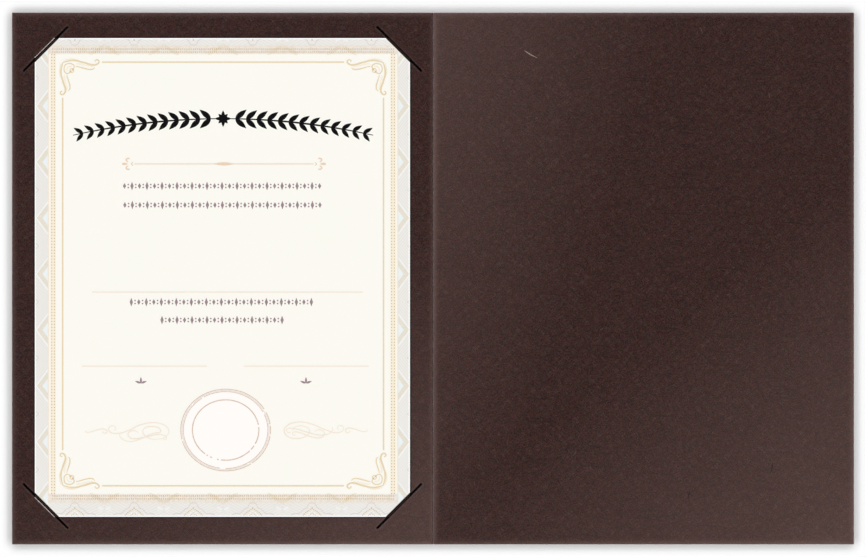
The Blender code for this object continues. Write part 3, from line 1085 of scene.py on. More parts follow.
gold_ink = ink_material("gold_ink", srgb(228, 208, 170))
deep_gold_ink = ink_material("deep_gold_ink", srgb(214, 184, 130))
pale_gold_ink = ink_material("pale_gold_ink", srgb(242, 230, 206))
dot_ink = ink_material("dot_ink", srgb(194, 150, 82), 0.05)
swag_ink = ink_material("swag_ink", srgb(224, 208, 178), 0.3)
chevron_ink = ink_material("chevron_ink", srgb(228, 221, 206), 0.3)
ice_ink = ink_material("ice_ink", srgb(235, 241, 242))
white_ink = ink_material("white_ink", srgb(244, 246, 245))
pearl_ink = ink_material("pearl_ink", srgb(239, 240, 238))
rose_ink = ink_material("rose_ink", srgb(221, 212, 210))
blush_ink = ink_material("blush_ink", srgb(235, 228, 223))
peach_ink = ink_material("peach_ink", srgb(239, 224, 208))
lily_ink = ink_material("lily_ink", srgb(232, 206, 180))
seal_ink = ink_material("seal_ink", srgb(210, 187, 168), 0.4)
seal_ground_ink = ink_material("seal_ground_ink", srgb(255, 250, 247))
flourish_ink = ink_material("flourish_ink", srgb(240, 227, 211))
black_ink = ink_material("black_ink", srgb(14, 12, 14), 0.01, 0.03)
mauve_ink = ink_material("mauve_ink", srgb(148, 127, 134), 0.15)
print("inks made")

# %% [markdown]
# ### Ribbons and patches
#
# Two helpers draw everything. A stroke is a ribbon along a path whose width may swell and taper, as a
# pen or a graver makes it, and a patch is a flat filled outline. Paths that should flow are given by a
# few points and smoothed by a Catmull-Rom curve, which passes through every one of them. Two faces in
# exactly the same place turn black in a render, so each drawing step has a level of its own, and a
# stroke climbs a little along its way, which lets it pass over itself.

# %% Draw strokes and patches
INK_SINK = 0.010 * MM
INK_FILM = 0.006 * MM
INK_LEVEL = 0.0022 * MM
INK_CLIMB = 0.0018 * MM


def on_print(x, y):
    """A place on the sheet from millimetres right of and above the middle of the print."""
    return PRINT_MIDDLE + Vector((x, y)) * MM


def flowing(points, spans=6):
    """A smooth path through the points."""
    points = [Vector(p) for p in points]
    ends = [2 * points[0] - points[1], *points, 2 * points[-1] - points[-2]]
    path = []
    for a, b, c, d in zip(ends, ends[1:], ends[2:], ends[3:]):
        for step in range(spans):
            t = step / spans
            curve = 2 * b + (c - a) * t + (2 * a - 5 * b + 4 * c - d) * t**2
            curve = curve + (3 * b - a - 3 * c + d) * t**3
            path.append(curve / 2)
    return [*path, points[-1]]


def swelling(path, start, middle, end):
    """Widths in millimetres along a path that swell from start to middle and taper to end."""
    widths = []
    for k in range(len(path)):
        t = k / (len(path) - 1)
        bulge = math.sin(math.pi * t)
        widths.append((start + (end - start) * t) * (1 - bulge) + middle * bulge)
    return widths


def stroke(shape, path, widths, level=0, closed=False, base=SHEET_TOP, slot=0):
    """A solid ribbon along a path. Widths are millimetres, one for all or one for each point."""
    widths = widths if isinstance(widths, list) else [widths] * len(path)
    last = len(path) - 1
    rows = []
    for k, (point, width) in enumerate(zip(path, widths)):
        before = path[k - 1] if k or closed else point
        after = path[(k + 1) % len(path)] if k < last or closed else point
        ahead = (after - before).normalized()
        side = Vector((-ahead.y, ahead.x)) * width * MM / 2
        top = INK_FILM + level * INK_LEVEL + (0.0 if closed else INK_CLIMB * k / last)
        left = point - side
        right = point + side
        corners = [(left, -INK_SINK), (right, -INK_SINK), (right, top), (left, top)]
        rows.append([shape.verts.new((*p, base + z)) for p, z in corners])
    for near, far in zip(rows, rows[1:] + rows[:1] if closed else rows[1:]):
        for k in range(4):
            m = (k + 1) % 4
            shape.faces.new((near[k], far[k], far[m], near[m])).material_index = slot
    if not closed:
        shape.faces.new(rows[0]).material_index = slot
        shape.faces.new(rows[-1][::-1]).material_index = slot


def patch(shape, outline, level=0):
    """A solid flat patch of ink from its outline."""
    lower = [shape.verts.new((*p, SHEET_TOP - INK_SINK)) for p in outline]
    upper = [shape.verts.new((*p, SHEET_TOP + INK_FILM + level * INK_LEVEL)) for p in outline]
    shape.faces.new(upper)
    shape.faces.new(lower[::-1])
    for k in range(len(outline)):
        m = (k + 1) % len(outline)
        shape.faces.new((lower[k], lower[m], upper[m], upper[k]))


def disc(shape, x, y, radius, level=0, corners=6):
    angles = [2 * math.pi * k / corners for k in range(corners)]
    patch(shape, [on_print(x + radius * math.cos(a), y + radius * math.sin(a)) for a in angles], level)


print(f"ink stands {INK_FILM / MM:.3f} mm proud")

# %% Put ink on the sheet
CUT_MARGIN = 0.7 * MM


def trim(shape, point, normal):
    """Cuts away what lies past a plane and closes the cut."""
    geometry = shape.verts[:] + shape.edges[:] + shape.faces[:]
    bmesh.ops.bisect_plane(shape, geom=geometry, dist=1e-8, plane_co=(*point, 0.0), plane_no=(*normal, 0.0),
                           clear_outer=True)
    bmesh.ops.holes_fill(shape, edges=[edge for edge in shape.edges if edge.is_boundary])


def trim_to_print(shape):
    """Keeps border ink off the bare rim and off the slits."""
    edge = SHEET_HALF - Vector((PRINT_RIM, PRINT_RIM))
    for side in (-1, 1):
        trim(shape, SHEET_MIDDLE + Vector((side * edge.x, 0.0)), Vector((side, 0.0)))
        trim(shape, SHEET_MIDDLE + Vector((0.0, side * edge.y)), Vector((0.0, side)))
    for slit in slits:
        trim(shape, slit.place(0.0, -CUT_MARGIN), slit.outward)


def print_piece(name, shape, ink):
    piece = make_piece(name, shape, [ink])
    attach(piece, "left_panel")
    return piece


print("ink is trimmed at the rim and at the slits")

# %% [markdown]
# ### Rules and corner scrolls
#
# A thin gold rule frames the field and stops short of each corner, where a scroll of leaves fills the
# gap. The scroll is the same on both sides of the corner's diagonal, so half of it is drawn, with its
# origin where the two rules would meet, and turned into the other half by swapping its two coordinates.
# The upright arm is a little shorter than the level one.

# %% Draw the rules
RULE_HALF = Vector((91.95, 121.4))
RULE_WIDTH = 0.8
RULE_STOP_X = 22.6
RULE_STOP_Y = 20.4

rules = bmesh.new()
for side in (-1, 1):
    along_x = RULE_HALF.x - RULE_STOP_X
    along_y = RULE_HALF.y - RULE_STOP_Y
    level_rule = [on_print(end * along_x, side * RULE_HALF.y) for end in (-1, 1)]
    upright_rule = [on_print(side * RULE_HALF.x, end * along_y) for end in (-1, 1)]
    stroke(rules, level_rule, RULE_WIDTH)
    stroke(rules, upright_rule, RULE_WIDTH)
print_piece("gold_rules", rules, gold_ink)

# %% Draw the corner scrolls
STEM = [(0.2, 0.2), (1.1, -0.1), (2.5, -0.5), (5.2, -0.95), (8.6, -0.7), (10.7, -0.1), (12.9, 0.4),
        (15.0, 1.1), (16.6, 1.5), (18.3, 1.6), (19.8, 1.1), (20.8, 0.1), (20.6, -0.9), (19.6, -1.4),
        (18.6, -0.8), (18.8, -0.2)]
LEAF = [(7.5, 2.4), (9.2, 2.7), (11.3, 3.3), (13.6, 3.9), (15.3, 4.2), (17.0, 4.1), (17.8, 3.7),
        (18.4, 2.9)]
RING = [(4.9, 5.3), (4.0, 6.0), (2.7, 6.6), (1.7, 6.2), (0.9, 4.9), (0.8, 3.4), (1.2, 2.0), (1.9, 1.1)]
INNER_ARC = [(2.4, 5.4), (2.4, 4.4), (2.7, 3.2), (3.4, 2.6)]
BELLY = [(0.4, -0.9), (2.5, -1.4), (5.2, -1.75), (8.0, -1.35), (10.0, -0.6)]
BUD = Vector((5.25, 4.8))
BUD_RADIUS = 1.1
BUD_DOTS = ((4.55, 5.4), (5.95, 4.15))
BUD_DOT_RADIUS = 0.5
BUD_TURNS = [2 * math.pi * k / 24 for k in range(24)]
FEATHERS = 6
FEATHER_START = 7.4
FEATHER_PITCH = 1.65
FEATHER = ((0.0, 1.25, 0.30), (1.2, 0.95, 0.28), (2.5, 0.45, 0.26))
ARM_START = 6.0
UPRIGHT_SHARE = 0.85


def draw_scroll_half(place, swap):
    """Half a scroll. Place turns its own two coordinates into a place on the sheet."""
    def path(points):
        if swap:
            points = [(v, min(u, ARM_START) + max(0.0, u - ARM_START) * UPRIGHT_SHARE) for u, v in points]
        return flowing([place(*p) for p in points])

    stem = path(STEM)
    leaf_line = path(LEAF)
    inner = path(INNER_ARC)
    belly = path(BELLY)
    stroke(scrolls, stem, swelling(stem, 0.55, 1.0, 0.45), 2 + swap)
    stroke(scrolls, leaf_line, swelling(leaf_line, 0.45, 0.7, 0.3), 4 + swap)
    stroke(scrolls, path(RING), 0.6, 6 + swap)
    stroke(feathers, inner, swelling(inner, 0.3, 0.6, 0.6), swap)
    stroke(feathers, belly, swelling(belly, 0.2, 0.75, 0.2), swap)
    for k in range(FEATHERS):
        u = FEATHER_START + FEATHER_PITCH * k
        hair = path([(u + ahead, v + climb * k) for ahead, v, climb in FEATHER])
        stroke(feathers, hair, swelling(hair, 0.15, 0.55, 0.2), swap)


scrolls = bmesh.new()
feathers = bmesh.new()
bud_dots = bmesh.new()
for sign_x, sign_y in CORNER_SIGNS.values():
    def place(u, v):
        return on_print(sign_x * (RULE_HALF.x - u), sign_y * (RULE_HALF.y - v))

    draw_scroll_half(place, False)
    draw_scroll_half(place, True)
    bud_ring = [place(*(BUD + BUD_RADIUS * Vector((math.cos(a), math.sin(a))))) for a in BUD_TURNS]
    stroke(scrolls, bud_ring, 0.5, 8, closed=True)
    for u, v in BUD_DOTS:
        rim = [(BUD_DOT_RADIUS * math.cos(a), BUD_DOT_RADIUS * math.sin(a)) for a in BUD_TURNS[::3]]
        patch(bud_dots, [place(u + x, v + y) for x, y in rim], 9)
print_piece("corner_scrolls", scrolls, gold_ink)
print_piece("scroll_feathers", feathers, pale_gold_ink)
print_piece("scroll_buds", bud_dots, deep_gold_ink)

# %% [markdown]
# ### The dotted frame
#
# Two rows of small dots run all the way round inside one fine line. The dots are far apart enough to be
# seen one by one, so each dot is its own little six-sided patch. Loops place them from the pitch and the
# length of each side.

# %% Draw the dots and lines of the frame
DOT_COLUMNS = (98.2, 96.6)
DOT_ROWS = (128.9, 127.2)
DOT_PITCH_SIDE = 1.7
DOT_PITCH_END = 1.22
DOT_RADIUS = 0.31
FRAME_LINE = Vector((100.1, 130.75))
FRAME_LINE_WIDTH = 0.5

frame_dots = bmesh.new()
side_count = int(DOT_ROWS[1] / DOT_PITCH_SIDE)
end_count = int(DOT_COLUMNS[0] / DOT_PITCH_END)
for side in (-1, 1):
    for column in DOT_COLUMNS:
        for k in range(-side_count, side_count + 1):
            disc(frame_dots, side * column, k * DOT_PITCH_SIDE, DOT_RADIUS, 4)
    for row in DOT_ROWS:
        for k in range(-end_count, end_count + 1):
            disc(frame_dots, k * DOT_PITCH_END, side * row, DOT_RADIUS, 5)
print_piece("frame_dots", frame_dots, dot_ink)

frame_lines = bmesh.new()
line_corners = [on_print(x * FRAME_LINE.x, y * FRAME_LINE.y) for x, y in CORNER_SIGNS.values()]
stroke(frame_lines, line_corners, FRAME_LINE_WIDTH, 3, closed=True)
trim_to_print(frame_lines)
print_piece("frame_lines", frame_lines, peach_ink)

# %% [markdown]
# ### Chevrons on the sides
#
# Along the sides the grey band repeats a beige chevron that points outwards with a pale triangle in its
# mouth and a fine white line along its back. A small notch stands between two chevrons. Half of a
# chevron is drawn and mirrored, and one loop repeats it.

# %% Draw the side chevrons
CHEVRON_STEPS = 4
CHEVRON_TIP = 106.8
CHEVRON_MOUTH = 100.4
CHEVRON_HALF = 8.0
TRIANGLE_TIP = 103.5
TRIANGLE_HALF = 4.3
CHEVRON_ARM = ((CHEVRON_TIP, 0.0), (CHEVRON_MOUTH, CHEVRON_HALF),
               (CHEVRON_MOUTH, TRIANGLE_HALF), (TRIANGLE_TIP, 0.0))
CHEVRON_BACK = ((CHEVRON_TIP + 0.3, 0.0), (CHEVRON_MOUTH, CHEVRON_HALF + 1.2))
TRIANGLE = ((TRIANGLE_TIP, 0.0), (CHEVRON_MOUTH, TRIANGLE_HALF), (CHEVRON_MOUTH, -TRIANGLE_HALF))
NOTCH = ((107.4, 1.7), (105.6, 0.0))
BACK_WIDTH = 0.55
NOTCH_WIDTH = 0.4

chevrons = bmesh.new()
triangles = bmesh.new()
outlines = bmesh.new()
notches = bmesh.new()
for side in (-1, 1):
    for step in range(-CHEVRON_STEPS, CHEVRON_STEPS + 1):
        y = step * SIDE_REPEAT / MM
        between = y + SIDE_REPEAT / MM / 2
        for lean in (-1, 1):
            patch(chevrons, [on_print(side * u, y + lean * v) for u, v in CHEVRON_ARM], 0)
            back = [on_print(side * u, y + lean * v) for u, v in CHEVRON_BACK]
            stroke(outlines, back, BACK_WIDTH, 2 + lean)
            notch = [on_print(side * u, between + lean * v) for u, v in NOTCH]
            stroke(notches, notch, NOTCH_WIDTH, 2 + lean)
        patch(triangles, [on_print(side * u, y + v) for u, v in TRIANGLE], 2)
for border in (chevrons, triangles, outlines, notches):
    trim_to_print(border)
print_piece("side_chevrons", chevrons, chevron_ink)
print_piece("chevron_triangles", triangles, ice_ink)
print_piece("chevron_backs", outlines, white_ink)
print_piece("side_notches", notches, rose_ink)

# %% [markdown]
# ### Gables and swags on the ends
#
# Along the ends a curved gable alternates with a gold swag. The gable is one fine line over an arch of
# gold beads, with pale petals and a smaller arch inside it. A swag is a few fine gold lines whose arms
# meet on the frame's outer line, and faint arcs and petals fan out from there. Where the sheet's edge
# cuts a motif short, the ink is trimmed.

# %% Draw the end gables
GABLE = [(0.0, 131.1), (1.5, 131.5), (2.25, 132.6), (3.1, 134.1), (4.5, 134.6), (5.5, 135.5),
         (6.6, 136.6), (7.5, 137.2), (10.6, 137.4), (12.1, 138.4)]
BEAD_ARCHES = (((1.0, 135.0), (1.9, 135.6), (2.8, 136.2), (3.6, 136.8), (4.4, 137.5), (5.1, 138.3)),
               ((0.0, 137.0), (0.9, 137.6), (1.8, 138.3)))
GABLE_WIDTH = 0.45
END_STEPS = 2
BEAD_RADIUS = 0.35
FINIAL_Y = 134.2
FINIAL_RADIUS = 1.4 * BEAD_RADIUS
PETAL_FOOT = 139.0
PETAL_TURNS = (-64, -32, 0, 32, 64)
PETAL_OUTLINE = ((0.9, 0.0), (2.1, 0.5), (3.3, 0.0), (2.1, -0.5))

gables = bmesh.new()
beads = bmesh.new()
gable_petals = bmesh.new()
for end in (-1, 1):
    for step in range(-END_STEPS - 1, END_STEPS + 1):
        x = (step + 0.5) * END_REPEAT / MM
        outline = [(-u, v) for u, v in GABLE[:0:-1]] + GABLE
        stroke(gables, flowing([on_print(x + u, end * v) for u, v in outline]), GABLE_WIDTH, 4)
        for u, v in (bead for arch_row in BEAD_ARCHES for bead in arch_row):
            disc(beads, x + u, end * v, BEAD_RADIUS, 3)
            disc(beads, x - u, end * v, BEAD_RADIUS, 4)
        disc(beads, x, end * FINIAL_Y, FINIAL_RADIUS, 3)
        for turn in PETAL_TURNS:
            ahead = Vector((math.sin(math.radians(turn)), -math.cos(math.radians(turn))))
            rim = [ahead * reach + Vector((-ahead.y, ahead.x)) * aside for reach, aside in PETAL_OUTLINE]
            patch(gable_petals, [on_print(x + u, end * (PETAL_FOOT + v)) for u, v in rim], 1)
for border in (gables, beads, gable_petals):
    trim_to_print(border)
print_piece("end_gables", gables, rose_ink)
print_piece("gable_beads", beads, deep_gold_ink)
print_piece("gable_petals", gable_petals, white_ink)

# %% Draw the end swags
SWAG_ARM = [(8.6, 126.4), (6.7, 126.9), (4.5, 128.0), (2.4, 129.5), (0.3, 130.6)]
SWAG_OFFSETS = (-0.75, 0.0, 0.75)
SWAG_WIDTHS = (0.15, 0.35, 0.3)
FAN_MIDDLE = 130.7
FAN_RADII = (1.5, 3.3, 5.2)
FAN_WIDTH = 0.5
FAN_TURNS = [math.pi * k / 12 for k in range(1, 12)]
FAN_PETAL_X = 2.2
FAN_PETAL_Y = 134.5
FAN_PETAL_RADIUS = 1.7
FAN_PETAL_CORNERS = 12

swags = bmesh.new()
fans = bmesh.new()
petals = bmesh.new()
for end in (-1, 1):
    for step in range(-END_STEPS, END_STEPS + 1):
        x = step * END_REPEAT / MM
        for lean in (-1, 1):
            for offset in SWAG_OFFSETS:
                arm = flowing([on_print(x + lean * u, end * (v + offset)) for u, v in SWAG_ARM])
                stroke(swags, arm, swelling(arm, *SWAG_WIDTHS), 2 if lean > 0 else 1)
            petal_x = x + lean * FAN_PETAL_X
            disc(petals, petal_x, end * FAN_PETAL_Y, FAN_PETAL_RADIUS, 0, FAN_PETAL_CORNERS)
        for k, radius in enumerate(FAN_RADII):
            rim = [(radius * math.cos(a), FAN_MIDDLE + radius * math.sin(a)) for a in FAN_TURNS]
            stroke(fans, [on_print(x + u, end * v) for u, v in rim], FAN_WIDTH, 1 + k)
for border in (swags, fans, petals):
    trim_to_print(border)
print_piece("end_swags", swags, swag_ink)
print_piece("swag_fans", fans, blush_ink)
print_piece("fan_petals", petals, pearl_ink)

# %% [markdown]
# ### Divider, writing lines and seal
#
# Below the heading a line with a lens in its middle ends in two small lilies. Fine plain lines are for
# writing on. The seal is stamped with worn rings, broken here and there, so the rings are drawn as arcs
# between listed angles.

# %% Draw the divider and the writing lines
DIVIDER_Y = 63.1
DIVIDER_X = 0.5
DIVIDER_HALF = 51.4
DIVIDER_WIDTH = 0.85
LENS_STEP = 1.4
LENS_WIDTHS = (0.3, 1.9, 0.3)
LILY_FOOT = 55.3
LILY_BUD = (0.0, -0.9, -1.8, -2.7, -3.2)
LILY_WHISKER = ((2.0, 0.0), (3.2, 0.9))
LILY_HOOK = [(0.4, 1.0), (-0.5, 1.8), (-0.6, 2.6), (0.4, 3.2), (1.2, 2.8)]

divider = bmesh.new()
lilies = bmesh.new()
stroke(divider, [on_print(DIVIDER_X + s * DIVIDER_HALF, DIVIDER_Y) for s in (-1, 1)], DIVIDER_WIDTH)
lens = [on_print(DIVIDER_X + LENS_STEP * k, DIVIDER_Y) for k in range(-4, 5)]
stroke(lilies, lens, swelling(lens, *LENS_WIDTHS), 2)
for side in (-1, 1):
    def lily(x, y):
        return on_print(DIVIDER_X + side * (LILY_FOOT - x), DIVIDER_Y + y)

    bud = [lily(x, 0.0) for x in LILY_BUD]
    stroke(lilies, bud, swelling(bud, 0.5, 1.5, 0.3), 1)
    for lean in (-1, 1):
        hook = flowing([lily(x, lean * y) for x, y in LILY_HOOK])
        stroke(lilies, hook, swelling(hook, 0.5, 0.9, 0.6), 3 + lean)
        stroke(lilies, [lily(x, lean * y) for x, y in LILY_WHISKER], 0.5, 3 + lean)
print_piece("heading_divider", divider, peach_ink)
print_piece("divider_lilies", lilies, lily_ink)

WRITING_LINES = ((-75.1, 80.2, -10.35), (-80.9, -9.2, -52.8), (12.0, 83.6, -52.8))
WRITING_WIDTH = 0.55
writing = bmesh.new()
for left, right, y in WRITING_LINES:
    stroke(writing, [on_print(left, y), on_print(right, y)], WRITING_WIDTH)
print_piece("writing_lines", writing, peach_ink)

# %% Draw the seal
SEAL_MIDDLE = Vector((1.45, -89.45))
SEAL_GROUND = (25.6, 23.2)
ARC_STEP = 5
SEAL_RINGS = (
    (25.7, 23.4, 0.50, ((8, 26), (31, 193), (196, 304), (306, 352), (354, 366))),
    (24.95, 22.7, 0.25, ((12, 138), (141, 300), (303, 371))),
    (24.25, 22.05, 0.45, ((28, 121), (124, 262), (270, 384))),
    (19.05, 17.3, 0.65, ((10, 232), (235, 238), (242, 246), (255, 258), (262, 317), (320, 329),
                         (333, 366))),
)


def seal_arc(radius_x, radius_y, first, last):
    count = max(3, int((last - first) / ARC_STEP))
    angles = [math.radians(first + (last - first) * k / count) for k in range(count + 1)]
    arc = [(radius_x * math.cos(a), radius_y * math.sin(a)) for a in angles]
    return [on_print(SEAL_MIDDLE.x + x, SEAL_MIDDLE.y + y) for x, y in arc]


seal_ground = bmesh.new()
patch(seal_ground, seal_arc(*SEAL_GROUND, 0, 360 - ARC_STEP))
print_piece("seal_ground", seal_ground, seal_ground_ink)
seal_rings = bmesh.new()
for radius_x, radius_y, width, arcs in SEAL_RINGS:
    for first, last in arcs:
        stroke(seal_rings, seal_arc(radius_x, radius_y, first, last), width, 2)
print_piece("seal_rings", seal_rings, seal_ink)

# %% [markdown]
# ### Pen flourishes
#
# On both sides of the seal lies a faint pen flourish: one long curve that loops back under itself, with
# a few smaller curls. The points below follow one hand's movement. The two are alike but not mirrored,
# so each has its own strokes, and one loop draws both.

# %% Draw the flourishes
FLOURISH_WIDTHS = (0.35, 0.65, 0.35)
LEFT_MIDDLE = Vector((-55.0, -90.35))
RIGHT_MIDDLE = Vector((58.4, -90.35))
LEFT_FLOURISH = (
    [(-24.2, 0.4), (-23.3, -0.3), (-21.7, -0.3), (-19.2, 0.3), (-16.8, 1.1), (-14.3, 1.6), (-12.7, 1.3),
     (-11.5, 0.5), (-11.8, -0.5), (-12.9, -0.9), (-14.0, -0.5), (-13.8, 0.3)],
    [(-7.8, 1.0), (-6.9, 1.0), (-6.5, 1.8), (-7.4, 3.1), (-9.0, 3.3), (-10.3, 2.3), (-10.6, 1.0),
     (-9.7, -0.2), (-8.4, -0.9), (-6.1, -1.1), (-3.7, -0.8), (-0.8, 0.1), (2.5, 1.4), (5.7, 3.2),
     (9.0, 4.3), (12.3, 5.0), (15.6, 5.2), (18.4, 4.8), (21.3, 3.8), (23.1, 2.3), (24.0, 0.2),
     (23.5, -1.4), (22.1, -2.9), (20.1, -4.0)],
    [(20.1, -4.0), (16.0, -4.4), (13.1, -4.0), (10.6, -2.8), (9.2, -1.0), (9.0, 0.6), (10.0, 2.0),
     (12.3, 2.9), (14.7, 2.9), (17.4, 2.5), (19.0, 1.2), (19.2, 0.0), (18.0, -0.7), (16.0, -0.8),
     (13.3, -1.6), (10.6, -2.8), (7.8, -4.1), (4.9, -5.1), (2.3, -5.7), (-0.8, -5.2), (-3.1, -3.9),
     (-4.3, -2.3), (-4.0, -1.0)],
    [(6.6, -1.0), (5.7, 0.0), (3.9, 0.6), (1.6, 0.1), (0.5, -1.1), (0.9, -2.7), (2.5, -3.9), (5.7, -4.0),
     (9.0, -3.3), (12.3, -2.8), (15.1, -2.0), (18.0, -1.7), (20.5, -1.9), (22.3, -2.9), (22.5, -4.1),
     (21.5, -4.5), (20.1, -3.9)],
)
RIGHT_FLOURISH = (
    [(24.4, 1.2), (23.6, 0.1), (21.8, 0.0), (19.4, 0.6), (17.4, 1.4), (15.5, 1.8), (14.0, 2.1),
     (12.6, 1.8), (11.7, 0.8), (12.0, -0.2), (13.0, -0.7), (14.0, -0.2), (14.6, 0.5)],
    [(7.9, 1.2), (7.1, 1.9), (7.4, 2.9), (8.6, 3.6), (9.8, 3.3), (10.6, 2.4), (10.6, 1.3), (9.8, 0.2),
     (8.4, -0.4), (6.6, -0.7), (4.7, -0.5), (3.2, 0.0), (1.5, 0.6), (-0.2, 1.2), (-2.2, 2.0),
     (-4.5, 3.1), (-6.6, 4.0), (-8.6, 4.6), (-10.6, 5.2), (-12.6, 5.5), (-14.5, 5.6), (-16.3, 5.4),
     (-18.0, 5.1), (-20.1, 4.5), (-21.9, 3.3), (-23.1, 1.8), (-23.4, 0.2), (-22.9, -1.2), (-21.7, -2.5),
     (-20.1, -3.4), (-18.0, -3.9), (-16.0, -4.0), (-14.0, -3.8), (-12.0, -3.2), (-10.3, -2.2),
     (-9.3, -1.2), (-8.8, -0.1), (-9.1, 1.3), (-10.1, 2.3), (-11.6, 2.9), (-13.3, 3.3), (-15.0, 3.3),
     (-16.7, 2.9), (-17.9, 2.1), (-18.5, 1.2), (-18.8, 0.5)],
    [(-19.5, -0.1), (-20.4, -0.7), (-21.4, -0.4), (-22.1, 0.4), (-21.8, 1.4), (-20.7, 1.9), (-19.0, 2.0),
     (-17.4, 1.7), (-15.7, 1.3), (-14.0, 0.9), (-12.3, 0.2), (-10.6, -0.2), (-8.3, -0.9), (-6.4, -1.4),
     (-4.2, -1.9), (-2.2, -2.0), (-0.2, -1.8), (1.5, -1.5), (2.9, -0.8), (3.9, 0.1), (4.5, 1.3),
     (4.2, 2.6)],
    [(-16.9, -1.8), (-17.7, -2.2), (-18.5, -1.6), (-18.5, -0.7), (-17.7, -0.2), (-16.0, -0.2),
     (-14.3, -0.6), (-12.6, -1.2), (-11.3, -1.8), (-10.1, -2.2), (-8.6, -2.8), (-6.6, -3.2),
     (-4.5, -3.6), (-2.5, -3.4), (-1.0, -2.5), (-0.3, -1.2), (-0.8, 0.1), (-2.2, 0.9), (-3.5, 1.1),
     (-4.9, 0.8), (-5.8, 0.0)],
)

flourishes = bmesh.new()
for middle, strokes in ((LEFT_MIDDLE, LEFT_FLOURISH), (RIGHT_MIDDLE, RIGHT_FLOURISH)):
    for level, points in enumerate(strokes):
        line = flowing([on_print(middle.x + f, middle.y + g) for f, g in points])
        stroke(flourishes, line, swelling(line, *FLOURISH_WIDTHS), level)
print_piece("pen_flourishes", flourishes, flourish_ink)

# %% [markdown]
# ### Heading garland and ornament rows
#
# The heading is an arched garland of pointed leaves in black, and smaller rows of lozenges in mauve fill
# the lines below it. A leaf is a patch with two mirrored sides that swell and meet in a point. All of
# them follow from a pitch and a formula for the arch, so the garland can be made longer or flatter in
# one place.

# %% Draw the garland
ARCH_TOP = 89.0
ARCH_RADIUS = 390.0
GARLAND_HALF = 86.0
LEAF_PITCH = 6.1
LEAF_LENGTH = 8.4
LEAF_WIDTH = 3.1
LEAF_LEAN = math.radians(40)
LEAF_START = 7.0
LEAF_TAPER = 0.25
LEAF_STEPS = 8
STEM_WIDTHS = (0.5, 1.0, 0.4)
ROSETTE = 8
ROSETTE_LENGTHS = (4.8, 3.8)
ROSETTE_WIDTH = 2.0


def leaf(shape, base, angle, length, width, level):
    """A pointed leaf from its base, in millimetres of the print."""
    forward = Vector((math.cos(angle), math.sin(angle)))
    across = Vector((-forward.y, forward.x))
    shares = [k / LEAF_STEPS for k in range(LEAF_STEPS + 1)]
    halves = [width / 2 * math.sin(math.pi * t**0.8) for t in shares]
    right = [base + forward * length * t - across * h for t, h in zip(shares, halves)]
    left = [base + forward * length * t + across * h for t, h in zip(shares[-2:0:-1], halves[-2:0:-1])]
    patch(shape, [on_print(*p) for p in right + left], level)


def arch(x):
    return Vector((x, ARCH_TOP - x * x / (2 * ARCH_RADIUS)))


garland = bmesh.new()
for side in (-1, 1):
    stem_path = [on_print(*arch(side * x)) for x in range(4, int(GARLAND_HALF) + 1, 2)]
    stroke(garland, stem_path, swelling(stem_path, *STEM_WIDTHS), 0)
    leaf_count = int((GARLAND_HALF - 8) / LEAF_PITCH)
    for k in range(leaf_count + 1):
        x = side * (LEAF_START + k * LEAF_PITCH)
        tangent = math.atan2(-x / ARCH_RADIUS, 1.0) + (0.0 if side > 0 else math.pi)
        size = 1.0 - LEAF_TAPER * k / leaf_count
        for lean in (-1, 1):
            level = 2 + lean + k % 2
            leaf(garland, arch(x), tangent + lean * LEAF_LEAN, LEAF_LENGTH * size, LEAF_WIDTH * size, level)
for k in range(ROSETTE):
    turn = 2 * math.pi * k / ROSETTE
    leaf(garland, arch(0.0), turn, ROSETTE_LENGTHS[k % 2], ROSETTE_WIDTH, k)
print_piece("heading_garland", garland, black_ink)

# %% Draw the ornament rows
ROWS = ((-0.6, 50.4, 57.9), (-0.4, 39.5, 59.8), (-1.0, -16.1, 54.8), (-0.6, -26.4, 36.1))
ROW_PITCH = 4.3
TALL_LOZENGE = 5.0
SHORT_LOZENGE = 3.4
LOZENGE_HALF = 0.95
ROW_DOT_RISE = 0.85
ROW_DOT_RADIUS = 0.5
SPRIGS = (-47.1, 47.5)
SPRIG_FOOT = -62.6
SPRIG_LEANS = (0.35, math.pi / 2, math.pi - 0.35)
SPRIG_LENGTH = 3.6
SPRIG_WIDTH = 1.2

ornament_rows = bmesh.new()
for middle, y, half in ROWS:
    reach = int(half / ROW_PITCH)
    for k in range(-reach, reach + 1):
        x = middle + k * ROW_PITCH
        tall = TALL_LOZENGE if k % 2 == 0 else SHORT_LOZENGE
        lozenge = [(LOZENGE_HALF, 0.0), (0.0, tall / 2), (-LOZENGE_HALF, 0.0), (0.0, -tall / 2)]
        patch(ornament_rows, [on_print(x + u, y + v) for u, v in lozenge])
        if k < reach:
            disc(ornament_rows, x + ROW_PITCH / 2, y + ROW_DOT_RISE, ROW_DOT_RADIUS)
            disc(ornament_rows, x + ROW_PITCH / 2, y - ROW_DOT_RISE, ROW_DOT_RADIUS)
for x in SPRIGS:
    for level, lean in enumerate(SPRIG_LEANS):
        leaf(ornament_rows, Vector((x, SPRIG_FOOT)), lean, SPRIG_LENGTH, SPRIG_WIDTH, level)
print_piece("ornament_rows", ornament_rows, mauve_ink)

# %% [markdown]
# ## Loose fibres on the card
#
# A few fibres of the felt have come loose and lie on the card, and one pale one near the top of the
# right panel catches the eye. They are too large and too crisp for a texture, so they are thin ribbons
# like the ink. The rest are scattered by a seeded random generator, so that every run gives the same
# ones.

# %% Scatter fibres on the right liner
FIBRE_COUNT = 22
FIBRE_MARGIN = 8 * MM
FIBRE_LEVEL = 4
FIBRE_CURL = 0.5
FIBRE_REACH = (1.2, 3.4)
FIBRE_WIDTH = (0.22, 0.42)
FIBRE_SLOTS = (1, 1, 2, 3, 3)
PALE_FIBRE = [(52.6, 130.6), (55.5, 128.6), (59.8, 126.4)]
PALE_WIDTHS = (0.3, 0.5, 0.25)

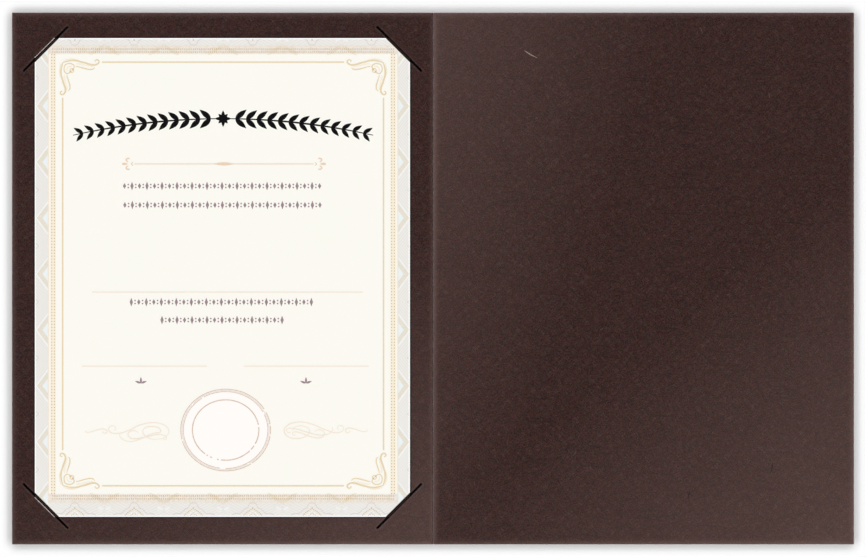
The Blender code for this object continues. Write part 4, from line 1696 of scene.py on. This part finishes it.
draw = random.Random(7)
fibre_tints = [
    ink_material("fibre_tan", srgb(138, 120, 110)),
    ink_material("fibre_grey", srgb(84, 69, 66), 0.02),
    ink_material("fibre_red", srgb(92, 50, 45), 0.02),
    ink_material("fibre_dark", srgb(32, 21, 20), 0.01),
]
right_fibres = bmesh.new()
pale = flowing([Vector(p) * MM for p in PALE_FIBRE])
stroke(right_fibres, pale, swelling(pale, *PALE_WIDTHS), FIBRE_LEVEL, base=right_high.z)
for k in range(FIBRE_COUNT):
    x = draw.uniform(right_low.x + FIBRE_MARGIN, right_high.x - FIBRE_MARGIN)
    y = draw.uniform(right_low.y + FIBRE_MARGIN, right_high.y - FIBRE_MARGIN)
    heading = draw.uniform(0, 2 * math.pi)
    curl = draw.uniform(-FIBRE_CURL, FIBRE_CURL)
    reach = draw.uniform(*FIBRE_REACH) * MM
    middle = Vector((x, y))
    back = middle - reach * Vector((math.cos(heading - curl), math.sin(heading - curl)))
    ahead = middle + reach * Vector((math.cos(heading + curl), math.sin(heading + curl)))
    line = flowing([back, middle, ahead], 4)
    widths = swelling(line, 0.1, draw.uniform(*FIBRE_WIDTH), 0.1)
    stroke(right_fibres, line, widths, FIBRE_LEVEL, base=right_high.z, slot=draw.choice(FIBRE_SLOTS))
fibres = make_piece("right_liner_fibres", right_fibres, fibre_tints)
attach(fibres, "right_panel")

# %% [markdown]
# ## Tape between the plies
#
# Strips of double-sided tape hold the liners on the cover. Nobody sees them unless a corner is lifted,
# and their solids already have the right shape, so they only get a better material: milky film with fine
# creases.

# %% Finish the tape
TAPE_MILK = srgb(222, 220, 212)
TAPE_CREASE = srgb(240, 239, 234)

tape_film, pen, shader = start_material("tape_film")
tape_place = pen.node("ShaderNodeTexCoord").outputs["Object"]
creases = pen.placed(
    felt_hairs, Place=tape_place, Angle=0.3, Length=9 * MM, Width=1.0 * MM, Share=0.4)["Mask"]
pen.feed(shader.inputs["Base Color"], pen.mix(creases, TAPE_MILK, TAPE_CREASE))
finish_surface(pen, shader, creases, 0.5, 0.03 * MM)
tape_nodes = [node for name, node in frame["nodes"].items() if "_tape_" in name]
for node in tape_nodes:
    node.data.materials.clear()
    node.data.materials.append(tape_film)
print(len(tape_nodes), "strips of tape finished")
